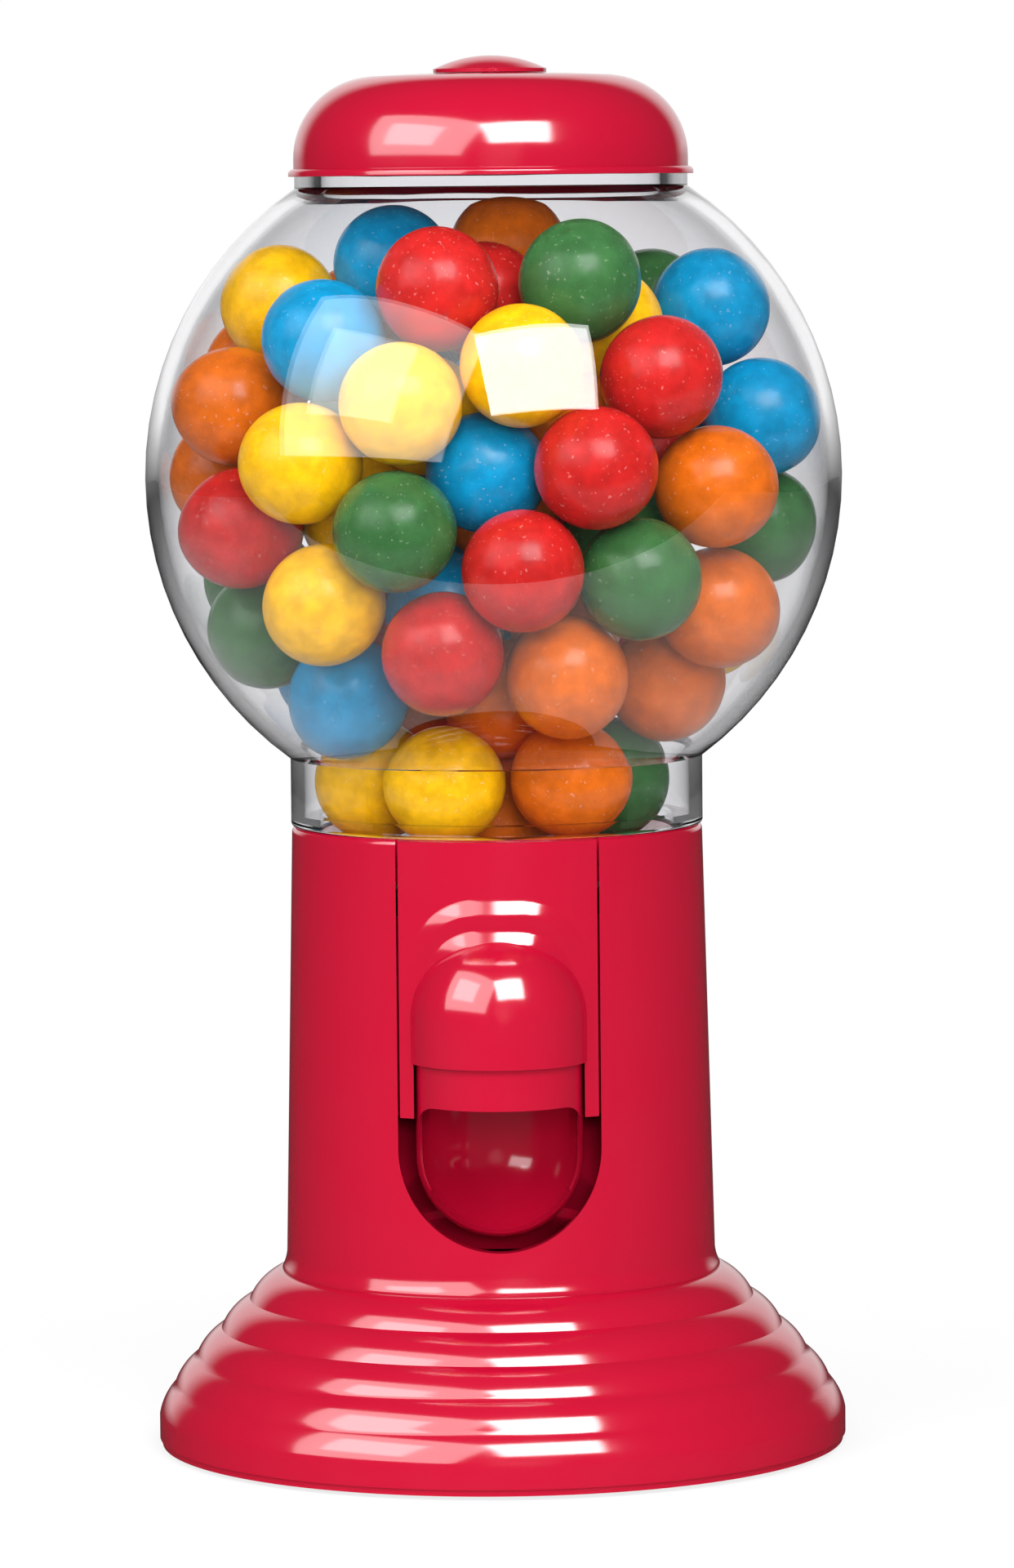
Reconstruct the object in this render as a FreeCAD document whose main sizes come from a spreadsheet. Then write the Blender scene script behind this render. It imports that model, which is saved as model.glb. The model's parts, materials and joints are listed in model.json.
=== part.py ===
"""Toy gumball machine: a stepped base, a round column with a push slide, and a clear globe of gumballs.

The frame has +Z up and its origin on the table under the middle of the base. The front faces -Y.
All lengths are millimetres. SIZES are the driving dimensions and PLACES are what follows from them.
"""
import FreeCAD, Part
import math
import os
import re

import Sketcher

SIZES = {
    # Gumballs
    "ball_diameter": 16.0,
    "ball_gap": 0.12,
    "fill_level": 30.0,
    # Fits
    "seat_fit": 0.15,
    "slide_gap": 0.3,
    "telescope_gap": 0.2,
    "running_gap": 0.08,
    "lid_fit": 0.3,
    # Base with its rings, plate and feet
    "foot_stand": 0.6,
    "foot_radius": 4.3,
    "foot_recess": 0.8,
    "foot_circle": 30.0,
    "base_radius": 46.6,
    "base_height": 23.5,
    "base_wall": 2.4,
    "ring_count": 5,
    "low_ring_height": 3.1,
    "ring_round": 7.5,
    "ring_spread": 1.3,
    "ring_top_margin": 0.3,
    "web_thickness": 2.4,
    "web_bore": 18.0,
    "plateau_height": 2.0,
    "plate_edge": 0.9,
    "plate_thickness": 2.6,
    "plate_inset": 0.35,
    "boss_radius": 3.4,
    # Column
    "column_foot_radius": 29.1,
    "column_top_radius": 27.7,
    "column_wall": 2.2,
    "column_height": 60.3,
    "column_edge": 0.8,
    "bead_height": 1.0,
    "bead_width": 0.6,
    "foot_flange": 2.7,
    "ledge_depth": 6.0,
    "ledge_thickness": 2.0,
    "ledge_width": 2.4,
    "channel_margin": 1.55,
    "channel_rise": 5.8,
    # Globe and hopper
    "globe_radius": 46.9,
    "globe_wall": 1.8,
    "neck_overhang": 0.1,
    "neck_height": 9.2,
    "neck_lip": 1.8,
    "spigot_wall": 1.5,
    "mouth_step": 0.1,
    "mouth_height": 1.6,
    "lip_height": 4.0,
    "hopper_rim": 2.0,
    "hopper_floor": 1.6,
    "throat_clearance": 1.2,
    "throat_wall": 1.6,
    # Lid and knob
    "lid_radius": 26.5,
    "lid_height": 13.7,
    "lid_wall": 1.6,
    "lid_round": 11.0,
    "lid_crown": 0.4,
    "lid_rim_width": 0.7,
    "lid_rim_height": 1.0,
    "knob_radius": 7.6,
    "knob_height": 2.3,
    "knob_edge": 0.5,
    "knob_stem": 2.0,
    "clip_radius": 4.5,
    "clip_thickness": 0.8,
    # Push slide
    "stroke": 6.0,
    "slide_drop": 36.8,
    "slide_top_gap": 0.2,
    "stop_gap": 0.05,
    "flange_wall": 1.3,
    "flange_lap": 1.75,
    "flange_edge": 0.2,
    "dome_drop": 23.7,
    "dome_reach": 23.3,
    "dome_radius": 11.9,
    "dome_wall": 0.6,
    "dome_skirt": 5.8,
    "low_step_drop": 7.8,
    "low_step_relief": 0.7,
    "low_step_corner": 9.0,
    "high_step_inset": 1.8,
    "high_step_drop": 11.8,
    "high_step_relief": 1.6,
    "high_step_corner": 7.5,
    "arm_wall": 1.2,
    # Chute
    "spout_wall": 0.8,
    "spout_lap": 0.9,
    "cup_drop": 18.2,
    "outlet_half": 10.6,
    "outlet_lift": 0.6,
    "outlet_rise": 6.3,
    "outlet_corner": 2.0,
    "chute_back_gap": 2.5,
    "entry_drop": 8.7,
    "chute_plate_gap": 1.1,
    "chute_plate_wall": 1.5,
    "chute_plate_side_gap": 0.96,
    # Dispensing drum, its gear pair and its bearings
    "drum_rim": 2.0,
    "drum_wall": 0.9,
    "cup_clearance": 0.5,
    "drum_throat_gap": 0.6,
    "journal_radius": 2.0,
    "stub_radius": 1.5,
    "gear_module": 0.75,
    "gear_teeth": 9,
    "gear_width": 2.4,
    "gear_backlash": 0.2,
    "tip_modules": 0.8,
    "root_modules": 1.05,
    "tooth_end_modules": 0.42,
    "pressure_angle": 20,
    "rack_tip_modules": 0.5,
    "rack_root_modules": 1.0,
    "rack_teeth": 6,
    "rack_spare_teeth": 2,
    "rack_width": 6.0,
    "bracket_gap": 0.3,
    "bracket_wall": 1.3,
    "bracket_half": 11.0,
    "bracket_tail": 7.0,
    "bracket_foot": 6.0,
    "bracket_foot_wall": 1.8,
    "bracket_screw_inset": 4.4,
    # Return spring
    "spring_radius": 1.75,
    "spring_wire": 0.7,
    "spring_turns": 6,
    "spring_gap": 0.65,
    "spring_drop": 3.5,
    "shelf_rise": 15.0,
    "shelf_wall": 1.5,
    "post_radius": 1.1,
    "post_height": 3.0,
    # Screws
    "screw_radius": 1.4,
    "screw_head": 2.6,
    "screw_head_height": 1.3,
    "screw_length": 6.0,
    "small_screw_radius": 0.9,
    "small_screw_head": 1.8,
    "small_screw_length": 3.2,
    "screw_count": 4,
}

PLACES = {
    "ball_radius": "ball_diameter / 2",
    # Heights up the middle, from the table to the lid
    "base_rim": "foot_stand + plate_edge",
    "ring_pitch": "(base_height - plate_edge - low_ring_height) / ring_count",
    "plate_top": "foot_stand + plate_thickness",
    "base_top": "foot_stand + base_height",
    "plateau_top": "base_top + plateau_height",
    "foot_flange_top": "plateau_top + foot_flange",
    "column_foot": "base_top + bead_height",
    "column_top": "base_top + column_height",
    "ledge_top": "column_top - ledge_depth",
    "ledge_bottom": "ledge_top - ledge_thickness",
    "rim_top": "ledge_top + hopper_rim",
    "globe_centre": "column_top + neck_height + sqrt(globe_radius^2 - neck_radius^2)",
    "mouth_foot": "globe_centre + sqrt(globe_radius^2 - mouth_radius^2)",
    "lid_seat": "mouth_foot + mouth_height",
    "lid_top": "lid_seat + lid_height",
    "lid_ceiling": "lid_top - lid_crown - lid_wall",
    "stem_hole": "knob_stem + seat_fit",
    "crown_reach": "lid_radius - lid_round",
    "crown_radius": "(crown_reach^2 + lid_crown^2) / (2 * lid_crown)",
    "crown_at_stem": "lid_top - crown_radius + sqrt(crown_radius^2 - stem_hole^2)",
    "cap_rise": "knob_height - knob_edge",
    "cap_radius": "(knob_radius^2 + cap_rise^2) / (2 * cap_rise)",
    "channel_bottom": "base_top + channel_rise",
    # Radii of nested round parts
    "base_hollow": "base_radius - base_wall",
    "ring_top_radius": "column_foot_radius + bead_width + ring_top_margin",
    "ring_top_hollow": "ring_top_radius - base_wall",
    "plateau_radius": "column_foot_radius - column_wall - seat_fit",
    "column_foot_hollow": "column_foot_radius - column_wall",
    "column_top_hollow": "column_top_radius - column_wall",
    "spigot_radius": "column_top_hollow - seat_fit",
    "spigot_hollow": "spigot_radius - spigot_wall",
    "hopper_radius": "spigot_hollow - seat_fit",
    "globe_hollow": "globe_radius - globe_wall",
    "neck_radius": "column_top_radius + neck_overhang",
    "mouth_radius": "lid_radius - mouth_step",
    "neck_hollow": "neck_radius - globe_wall",
    "lid_hollow": "lid_radius - lid_wall",
    "lip_radius": "lid_hollow - lid_fit",
    "lip_hollow": "lip_radius - globe_wall",
    "neck_join": "globe_centre - sqrt(globe_hollow^2 - neck_hollow^2)",
    "lip_join": "globe_centre + sqrt(globe_hollow^2 - lip_hollow^2)",
    "throat_radius": "ball_radius + throat_clearance",
    "throat_outer": "throat_radius + throat_wall",
    # Drum, gear pair and bearings
    "drum_z": "column_top - dome_drop",
    "drum_top": "drum_z + drum_radius",
    "throat_foot": "drum_top + drum_throat_gap",
    "throat_top": "ledge_top + hopper_floor",
    "cup_radius": "ball_radius + cup_clearance",
    "drum_radius": "cup_radius + drum_rim",
    "drum_half": "cup_radius + drum_wall",
    "bracket_in": "drum_half + bracket_gap",
    "bracket_out": "bracket_in + bracket_wall",
    "fork_half": "sqrt(throat_outer^2 - bracket_in^2) + bracket_gap",
    "gear_in": "bracket_out + bracket_gap",
    "gear_out": "gear_in + gear_width",
    "gear_radius": "gear_module * gear_teeth / 2",
    "gear_pitch": "pi * gear_module",
    "gear_tip": "gear_radius + tip_modules * gear_module",
    "gear_root": "gear_radius - root_modules * gear_module",
    "rack_tip": "-gear_radius + rack_tip_modules * gear_module",
    "rack_root": "-gear_radius - rack_root_modules * gear_module",
    "rack_back": "rack_root - rack_width",
    "rack_foot": "drum_z - rack_spare_teeth * gear_pitch",
    "rack_head": "drum_z + stroke + rack_spare_teeth * gear_pitch",
    "arm_in": "gear_out + telescope_gap / 2",
    "arm_out": "arm_in + arm_wall",
    # Slide and chute
    "column_slope": "(column_top_radius - column_foot_radius) / (column_top - column_foot)",
    "flange_inside": "column_foot_radius + (drum_z - column_foot) * column_slope - flange_in",
    "flange_middle": "flange_inside + flange_wall / 2",
    "arm_reach": "sqrt(flange_middle^2 - arm_out^2)",
    "spring_arm_reach": "sqrt(flange_middle^2 - spring_arm_out^2)",
    "channel_half": "dome_radius + channel_margin",
    "slide_top": "column_top - slide_top_gap",
    "slide_foot": "column_top - slide_drop",
    "slide_half": "channel_half - slide_gap",
    "flange_top": "ledge_bottom - ledge_width - stop_gap",
    "flange_arms": "max(arm_out; spring_arm_out) + flange_edge",
    "flange_half": "max(channel_half + flange_lap; flange_arms)",
    "flange_out": "column_wall + slide_gap",
    "flange_in": "flange_out + flange_wall",
    "panel_in": "column_wall - seat_fit",
    "dome_rim": "drum_z - dome_skirt",
    "dome_hollow": "dome_radius - dome_wall",
    "low_step_half": "dome_radius",
    "low_step_top": "column_top - low_step_drop",
    "high_step_half": "dome_radius - high_step_inset",
    "high_step_top": "column_top - high_step_drop",
    "spout_radius": "dome_hollow - telescope_gap",
    "spout_hollow": "spout_radius - spout_wall",
    "spout_top": "dome_rim + spout_lap",
    "cup_z": "drum_z - cup_drop",
    "outlet_z": "cup_z + outlet_lift",
    "outlet_top": "outlet_z + outlet_rise",
    "entry_z": "drum_z - entry_drop",
    "chute_back": "drum_radius + chute_back_gap",
    "chute_plate_foot": "foot_flange_top + seat_fit",
    "chute_plate_top": "slide_foot - stop_gap",
    "chute_plate_reach": "sqrt(flange_inside^2 - flange_half^2) - chute_plate_gap",
    "chute_plate_back": "chute_plate_reach - chute_plate_wall",
    "chute_plate_hollow": "column_foot_hollow + (chute_plate_top - column_foot) * column_slope",
    "chute_plate_half": "sqrt(chute_plate_hollow^2 - chute_plate_reach^2) - chute_plate_side_gap",
    "shelf_top": "chute_plate_foot + shelf_rise",
    "spring_top": "drum_z - spring_drop",
    "spring_arm_top": "spring_top + 2 * arm_wall",
    "spring_side": "spring_radius + spring_wire",
    "spring_right": "max(bracket_out; spout_radius) + spring_gap + spring_side",
    "spring_reach": "chute_plate_back - spring_side - spring_gap",
    "spring_arm_out": "spring_right + post_radius",
    # Screw circles
    "column_screw_circle": "(web_bore + plateau_radius) / 2",
    "base_screw_circle": "base_hollow - 2 * boss_radius",
    "roof_slope": "(ring_count * ring_pitch - web_thickness) / (base_hollow - ring_top_hollow)",
    "boss_top": "base_top - web_thickness - (base_screw_circle - ring_top_hollow) * roof_slope",
    "chute_screw_right": "chute_plate_half - 1.5 * screw_radius",
    "chute_screw_z": "chute_plate_foot + 1.5 * screw_head",
    "bracket_screw_right": "bracket_out + bracket_foot / 2",
    "bracket_screw_reach": "bracket_half - bracket_screw_inset",
    "rack_screw_y": "rack_back + 2 * small_screw_head",
    "rack_screw_low": "rack_foot + 2 * small_screw_head",
    "rack_screw_high": "rack_head - 2 * small_screw_head",
}

# Gumballs that show through the front: colour, then how far right of, above and behind the globe's centre.
# None for the last means that the ball lies against the front wall.
SEEN = [
    ("red", -7.3, 24.8, None),
    ("green", 11.2, 25.0, None),
    ("yellow", -28.5, 24.0, None),
    ("blue", -14.5, 28.0, -1),
    ("orange", 1.5, 29.5, 2),
    ("red", 2.4, 23.5, -10),
    ("green", 23.0, 22.5, 10),
    ("blue", 29.5, 20.5, -3),
    ("yellow", 4.1, 16.4, None),
    ("red", 21.5, 13.5, None),
    ("blue", -20.9, 17.8, None),
    ("yellow", -11.2, 10.6, None),
    ("blue", 35.5, 9.8, None),
    ("blue", 34.0, 4.0, 14),
    ("orange", -34.0, 9.8, None),
    ("orange", -32.0, 15.0, 10),
    ("yellow", -24.8, 3.6, None),
    ("orange", -36.0, -1.0, 6),
    ("blue", -0.7, 1.5, -26),
    ("red", 12.5, 2.2, None),
    ("orange", 28.8, -0.8, None),
    ("green", 36.5, -5.0, 2),
    ("red", -33.0, -6.0, None),
    ("green", -12.5, -5.0, None),
    ("red", 2.9, -11.0, None),
    ("green", 18.5, -12.0, None),
    ("orange", 29.3, -17.0, None),
    ("yellow", -22.0, -15.5, None),
    ("green", -33.0, -15.0, 9),
    ("green", -30.5, -20.5, None),
    ("red", -7.2, -22.8, None),
    ("orange", 9.3, -25.2, None),
    ("orange", 22.0, -29.5, None),
    ("yellow", 30.0, -20.5, 9),
    ("blue", -18.0, -30.5, None),
    ("blue", -24.0, -27.5, 8),
    ("orange", -0.5, -31.0, -9),
    ("yellow", -6.5, -39.5, -16),
    ("orange", 9.3, -39.0, -15),
    ("yellow", -16.0, -39.5, -3),
    ("orange", -10.0, -39.0, 11),
    ("green", 16.5, -39.5, 1),
]
COLOURS = ("red", "yellow", "orange", "green", "blue")
# Settling: how easily a seen ball is pushed, how often the seen balls and then all balls are pushed apart,
# and how near, in ball radii, a filling ball may start to its neighbours
SEEN_SHARE = 0.3
SEEN_ROUNDS = 60
ALL_ROUNDS = 150
NEAREST_START = 1.55
# Filling rows: rise of a layer, step between rows and sideways shift of every other layer, in ball spacings
LAYER_RISE = 0.82
ROW_STEP = 0.87
LAYER_ASIDE = 0.5
LAYER_BACK = 0.3

# Bearing in degrees of the feet and of the column's screws, between those of the base's screws
DIAGONAL = 45

doc = FreeCAD.newDocument("gumball_machine")
sheet = doc.addObject("Spreadsheet::Sheet", "Sizes")
for row, (alias, size) in enumerate(SIZES.items(), start=1):
    sheet.set(f"A{row}", alias)
    sheet.set(f"B{row}", str(size))
    sheet.setAlias(f"B{row}", alias)
doc.recompute()
PIECES = []


# Named sizes as expressions and numbers

def bound(text):
    """Expression on the sheet's cells for a text that uses names from SIZES and PLACES."""
    def swap(match):
        word = match.group(0)
        if word in SIZES:
            return "Sizes." + word
        return "(" + bound(PLACES[word]) + ")" if word in PLACES else word
    return re.sub(r"[a-z][a-z_]*", swap, text)


def number(text):
    """Present value of such a text."""
    return float(sheet.evalExpression(bound(text)))


def column_radius(height, inset="0"):
    """Radius of the tapered column at a height, less an inset."""
    return f"column_foot_radius + ({height} - column_foot) * column_slope - ({inset})"


def ring_corner(count):
    """Radius and height of the crease above the ring with that count from the top."""
    share = f"(1 - (1 - {count} / ring_count)^ring_spread)"
    radius = f"ring_top_radius + (base_radius - ring_top_radius) * {share}"
    return radius, f"base_top - {count} * ring_pitch"


# Sketches and features

def body(label):
    made = doc.addObject("PartDesign::Body", label)
    made.Label = label
    PIECES.append(made)
    return made


def sketch(owner, role, at=("0", "0", "0")):
    """Sketch on one of a body's origin planes, with its own origin moved by at."""
    made = owner.newObject("Sketcher::SketchObject", owner.Label + "_sketch")
    plane = next(item for item in owner.Origin.OriginFeatures if item.Role == role)
    made.AttachmentSupport = [(plane, "")]
    made.MapMode = "FlatFace"
    for axis, text in zip("xyz", at):
        made.setExpression("AttachmentOffset.Base." + axis, bound(text))
    return made


def bind(made, constraint, text):
    row = made.addConstraint(constraint)
    made.renameConstraint(row, f"size{row}")
    made.setExpression(f"Constraints.size{row}", bound(text))


def pin(made, index, end, across, up):
    """Holds one end of a sketch edge at a place bound to the sheet."""
    bind(made, Sketcher.Constraint("DistanceX", -1, 1, index, end, number(across)), across)
    bind(made, Sketcher.Constraint("DistanceY", -1, 1, index, end, number(up)), up)


def arc_edge(start, end, side, radius):
    """Lesser arc between two points with its centre to the left or right of the way from start to end."""
    chord = end - start
    aside = FreeCAD.Vector(-chord.y, chord.x, 0).normalize()
    reach = math.sqrt(max(radius**2 - chord.Length**2 / 4, 0))
    centre = (start + end) / 2 + aside * (reach if side == "left" else -reach)
    first, last = (start, end) if side == "left" else (end, start)
    angles = [math.atan2(point.y - centre.y, point.x - centre.x) for point in (first, last)]
    return Part.ArcOfCircle(Part.Circle(centre, FreeCAD.Vector(0, 0, 1), radius), *angles)


def outline(made, corners):
    """Closed outline. A corner is (across, up), or (across, up, side, radius) if an arc leaves it."""
    base = made.GeometryCount
    places = [FreeCAD.Vector(number(corner[0]), number(corner[1]), 0) for corner in corners]
    starts = []
    for index, corner in enumerate(corners):
        start, end = places[index], places[(index + 1) % len(corners)]
        if len(corner) == 2:
            made.addGeometry(Part.LineSegment(start, end), False)
        else:
            made.addGeometry(arc_edge(start, end, corner[2], number(corner[3])), False)
        starts.append(2 if corner[2:3] == ("right",) else 1)
    for index, corner in enumerate(corners):
        after = (index + 1) % len(corners)
        made.addConstraint(Sketcher.Constraint("Coincident", base + index, 3 - starts[index],
                                               base + after, starts[after]))
    for index, corner in enumerate(corners):
        pin(made, base + index, starts[index], corner[0], corner[1])
        if len(corner) > 2:
            bind(made, Sketcher.Constraint("Radius", base + index, number(corner[3])), corner[3])


def circle(made, across, up, radius):
    centre = FreeCAD.Vector(number(across), number(up), 0)
    index = made.addGeometry(Part.Circle(centre, FreeCAD.Vector(0, 0, 1), number(radius)), False)
    pin(made, index, 3, across, up)
    bind(made, Sketcher.Constraint("Radius", index, number(radius)), radius)


def round_places(reach, start=0):
    """Places for one set of screws or feet, evenly round the middle."""
    count = int(number("screw_count"))
    angles = [start + 360 * index / count for index in range(count)]
    return [(f"{reach} * cos({angle})", f"{reach} * sin({angle})") for angle in angles]


def ring_of_circles(made, reach, radius, start=0):
    for across, up in round_places(reach, start):
        circle(made, across, up, radius)


def extrude(kind, owner, made, length, reverse=False):
    feature = owner.newObject("PartDesign::" + kind, owner.Label + "_" + kind.lower())
    feature.Profile = made
    feature.Reversed = reverse
    feature.setExpression("Length", bound(length))
    doc.recompute()
    return feature


def turn(kind, owner, corners, at=("0", "0", "0")):
    """Revolution or Groove of an outline in the XZ plane about its upright axis."""
    made = sketch(owner, "XZ_Plane", at)
    outline(made, corners)
    feature = owner.newObject("PartDesign::" + kind, owner.Label + "_" + kind.lower())
    feature.Profile = made
    feature.ReferenceAxis = (made, ["V_Axis"])
    feature.Angle = 360
    doc.recompute()
    return feature


# Primitives and booleans

def solid(kind, name, at=("0", "0", "0"), axis=None, angle=0, **sizes):
    """Part primitive with bound sizes, turned about an axis and moved to a bound place."""
    made = doc.addObject("Part::" + kind, name)
    for key, text in sizes.items():
        made.setExpression(key, bound(text))
    return moved(made, at, axis, angle)


def moved(made, at, axis=None, angle=0):
    if axis:
        made.Placement = FreeCAD.Placement(FreeCAD.Vector(), FreeCAD.Rotation(FreeCAD.Vector(axis), angle))
    for letter, text in zip("xyz", at):
        made.setExpression("Placement.Base." + letter, bound(text))
    return made


def block(name, low, high):
    """Box between two corners given as expressions."""
    length, width, height = (f"({top}) - ({bottom})" for bottom, top in zip(low, high))
    return solid("Box", name, low, Length=length, Width=width, Height=height)


def rod(name, at, reach, radius, sweep="360"):
    """Cylinder that runs forward, along -Y, from a place. A sweep of 180 keeps its upper half."""
    return solid("Cylinder", name, at, (1, 0, 0), 90, Radius=radius, Height=reach, Angle=sweep)


def join(name, shapes, kind="MultiFuse"):
    made = doc.addObject("Part::" + kind, name)
    made.Shapes = shapes
    return made


def cut(name, base, tool):
    made = doc.addObject("Part::Cut", name)
    made.Base = base
    made.Tool = tool
    return made


def group(label, shapes):
    """Sub-part of several separate solids."""
    made = doc.addObject("Part::Compound", label)
    made.Links = shapes
    return finish(label, made)


def finish(label, made):
    made.Label = label
    doc.recompute()
    PIECES.append(made)
    return made


def screw(name, at, axis, angle, size="screw"):
    """Pan-head screw along the turned +Z axis, with the underside of its head at the given place."""
    head = solid("Cylinder", name + "_head", ("0", "0", "-screw_head_height"),
                 Radius=size + "_head", Height="screw_head_height")
    shank = solid("Cylinder", name + "_shank", Radius=size + "_radius", Height=size + "_length")
    slot = block(name + "_slot", (f"-{size}_head", "-screw_head_height / 4", "-1.1 * screw_head_height"),
                 (f"{size}_head", "screw_head_height / 4", "-screw_head_height / 2"))
    return moved(cut(name, join(name + "_blank", [head, shank]), slot), at, axis, angle)


# Base

def make_base():
    base = body("base")
    rings = [ring_corner(count) for count in range(int(number("ring_count")), 0, -1)]
    corners = [("base_radius", "base_rim")]
    corners += [(radius, height, "left", "ring_round") for radius, height in rings]
    corners += [
        ring_corner(0),
        ("plateau_radius", "base_top"),
        ("plateau_radius", "plateau_top"),
        ("web_bore", "plateau_top"),
        ("web_bore", "base_top - web_thickness"),
        ("ring_top_hollow", "base_top - web_thickness"),
        ("base_hollow", "base_top - ring_count * ring_pitch"),
        ("base_hollow", "base_rim"),
    ]
    turn("Revolution", base, corners)
    bosses = sketch(base, "XY_Plane", ("0", "0", "plate_top"))
    ring_of_circles(bosses, "base_screw_circle", "boss_radius")
    extrude("Pad", base, bosses, "boss_top - plate_top")
    pilots = sketch(base, "XY_Plane", ("0", "0", "plate_top"))
    ring_of_circles(pilots, "base_screw_circle", "screw_radius")
    extrude("Pocket", base, pilots, "screw_length", reverse=True)
    holes = sketch(base, "XY_Plane", ("0", "0", "plateau_top"))
    ring_of_circles(holes, "column_screw_circle", "screw_radius + seat_fit", DIAGONAL)
    extrude("Pocket", base, holes, "plateau_height + web_thickness")


def make_base_plate():
    plate = body("base_plate")
    turn("Revolution", plate, [
        ("0", "foot_stand"),
        ("base_radius - plate_inset", "foot_stand"),
        ("base_radius - plate_inset", "base_rim"),
        ("base_hollow - seat_fit", "base_rim"),
        ("base_hollow - seat_fit", "plate_top"),
        ("0", "plate_top"),
    ])
    recesses = sketch(plate, "XY_Plane", ("0", "0", "foot_stand"))
    ring_of_circles(recesses, "foot_circle", "foot_radius + seat_fit", DIAGONAL)
    extrude("Pocket", plate, recesses, "foot_recess", reverse=True)
    heads = sketch(plate, "XY_Plane", ("0", "0", "foot_stand"))
    ring_of_circles(heads, "base_screw_circle", "screw_head + seat_fit")
    extrude("Pocket", plate, heads, "screw_head_height", reverse=True)
    holes = sketch(plate, "XY_Plane", ("0", "0", "plate_top"))
    ring_of_circles(holes, "base_screw_circle", "screw_radius + seat_fit")
    extrude("Pocket", plate, holes, "plate_thickness")


def upright_screws(label, places, height, size="screw"):
    """Screws that point up, with the undersides of their heads at one height."""
    group(label, [screw(f"{label}_{index}", (*at, height), (0, 0, 1), 0, size)
                  for index, at in enumerate(places)])


def make_feet_and_base_screws():
    feet = round_places("foot_circle", DIAGONAL)
    group("rubber_feet", [solid("Cylinder", f"foot_{index}", (*at, "0"), Radius="foot_radius",
                                Height="foot_stand + foot_recess") for index, at in enumerate(feet)])
    upright_screws("base_screws", round_places("base_screw_circle"), "foot_stand + screw_head_height")
    upright_screws("column_screws", round_places("column_screw_circle", DIAGONAL), "base_top - web_thickness")


# Column

def make_column():
    column = body("column")
    bead = "column_foot_radius + bead_width"
    turn("Revolution", column, [
        (bead + " - bead_width / 2", "base_top"),
        (bead, "base_top + bead_height / 2", "left", "bead_height"),
        ("column_foot_radius", "column_foot"),
        (column_radius("column_top - column_edge"), "column_top - column_edge", "left", "column_edge"),
        ("column_top_radius - column_edge", "column_top"),
        ("column_top_hollow", "column_top"),
        (column_radius("ledge_top", "column_wall"), "ledge_top"),
        (column_radius("ledge_top", "column_wall + ledge_width"), "ledge_top"),
        (column_radius("ledge_top", "column_wall + ledge_width"), "ledge_bottom"),
        (column_radius("ledge_bottom", "column_wall"), "ledge_bottom - ledge_width"),
        (column_radius("foot_flange_top", "column_wall"), "foot_flange_top"),
        ("web_bore", "foot_flange_top"),
        ("web_bore", "plateau_top"),
        ("column_foot_hollow", "plateau_top"),
        ("column_foot_hollow", "base_top"),
    ])
    bosses = sketch(column, "XZ_Plane", ("0", "0", "chute_plate_reach"))
    pilots = sketch(column, "XZ_Plane", ("0", "0", "chute_plate_reach"))
    for side in ("", "-"):
        circle(bosses, side + "chute_screw_right", "chute_screw_z", "2 * screw_radius")
        circle(pilots, side + "chute_screw_right", "chute_screw_z", "small_screw_radius")
    reach = "sqrt((column_foot_radius - column_wall)^2 - chute_screw_right^2) + column_wall / 4"
    extrude("Pad", column, bosses, reach + " - chute_plate_reach")
    extrude("Pocket", column, pilots, "small_screw_length", reverse=True)
    channel = sketch(column, "XZ_Plane")
    outline(channel, [
        ("-channel_half", "column_top + column_edge"),
        ("-channel_half", "channel_bottom + channel_half", "left", "channel_half"),
        ("0", "channel_bottom", "left", "channel_half"),
        ("channel_half", "channel_bottom + channel_half"),
        ("channel_half", "column_top + column_edge"),
    ])
    extrude("Pocket", column, channel, "column_foot_radius + bead_width", reverse=True)
    pilots = sketch(column, "XY_Plane", ("0", "0", "plateau_top"))
    ring_of_circles(pilots, "column_screw_circle", "screw_radius", DIAGONAL)
    extrude("Pocket", column, pilots, "foot_flange", reverse=True)


# Globe, hopper and lid

def make_globe():
    globe = body("globe")
    turn("Revolution", globe, [
        ("spigot_radius", "rim_top"),
        ("spigot_radius", "column_top"),
        ("neck_radius - globe_wall / 3", "column_top", "left", "globe_wall / 3"),
        ("neck_radius", "column_top + globe_wall / 3"),
        ("neck_radius", "column_top + neck_height", "left", "globe_radius"),
        ("mouth_radius", "mouth_foot"),
        ("mouth_radius", "lid_seat"),
        ("lip_radius", "lid_seat"),
        ("lip_radius", "lid_seat + lip_height"),
        ("lip_hollow", "lid_seat + lip_height"),
        ("lip_hollow", "lip_join", "right", "globe_hollow"),
        ("neck_hollow", "neck_join"),
        ("neck_hollow", "column_top + neck_lip"),
        ("spigot_hollow", "column_top + neck_lip"),
        ("spigot_hollow", "rim_top"),
    ])


def make_hopper_plate():
    hopper = body("hopper_plate")
    turn("Revolution", hopper, [
        ("throat_radius", "throat_foot"),
        ("throat_outer", "throat_foot"),
        ("throat_outer", "ledge_top"),
        ("spigot_radius", "ledge_top"),
        ("spigot_radius", "rim_top"),
        ("hopper_radius", "rim_top"),
        ("hopper_radius", "column_top"),
        ("throat_radius", "throat_top"),
    ])
    pilots = sketch(hopper, "XY_Plane", ("0", "0", "ledge_top"))
    for across in ("bracket_screw_right", "-bracket_screw_right"):
        for up in ("bracket_screw_reach", "-bracket_screw_reach"):
            circle(pilots, across, up, "small_screw_radius")
    extrude("Pocket", hopper, pilots, "small_screw_length - bracket_foot_wall", reverse=True)


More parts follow.
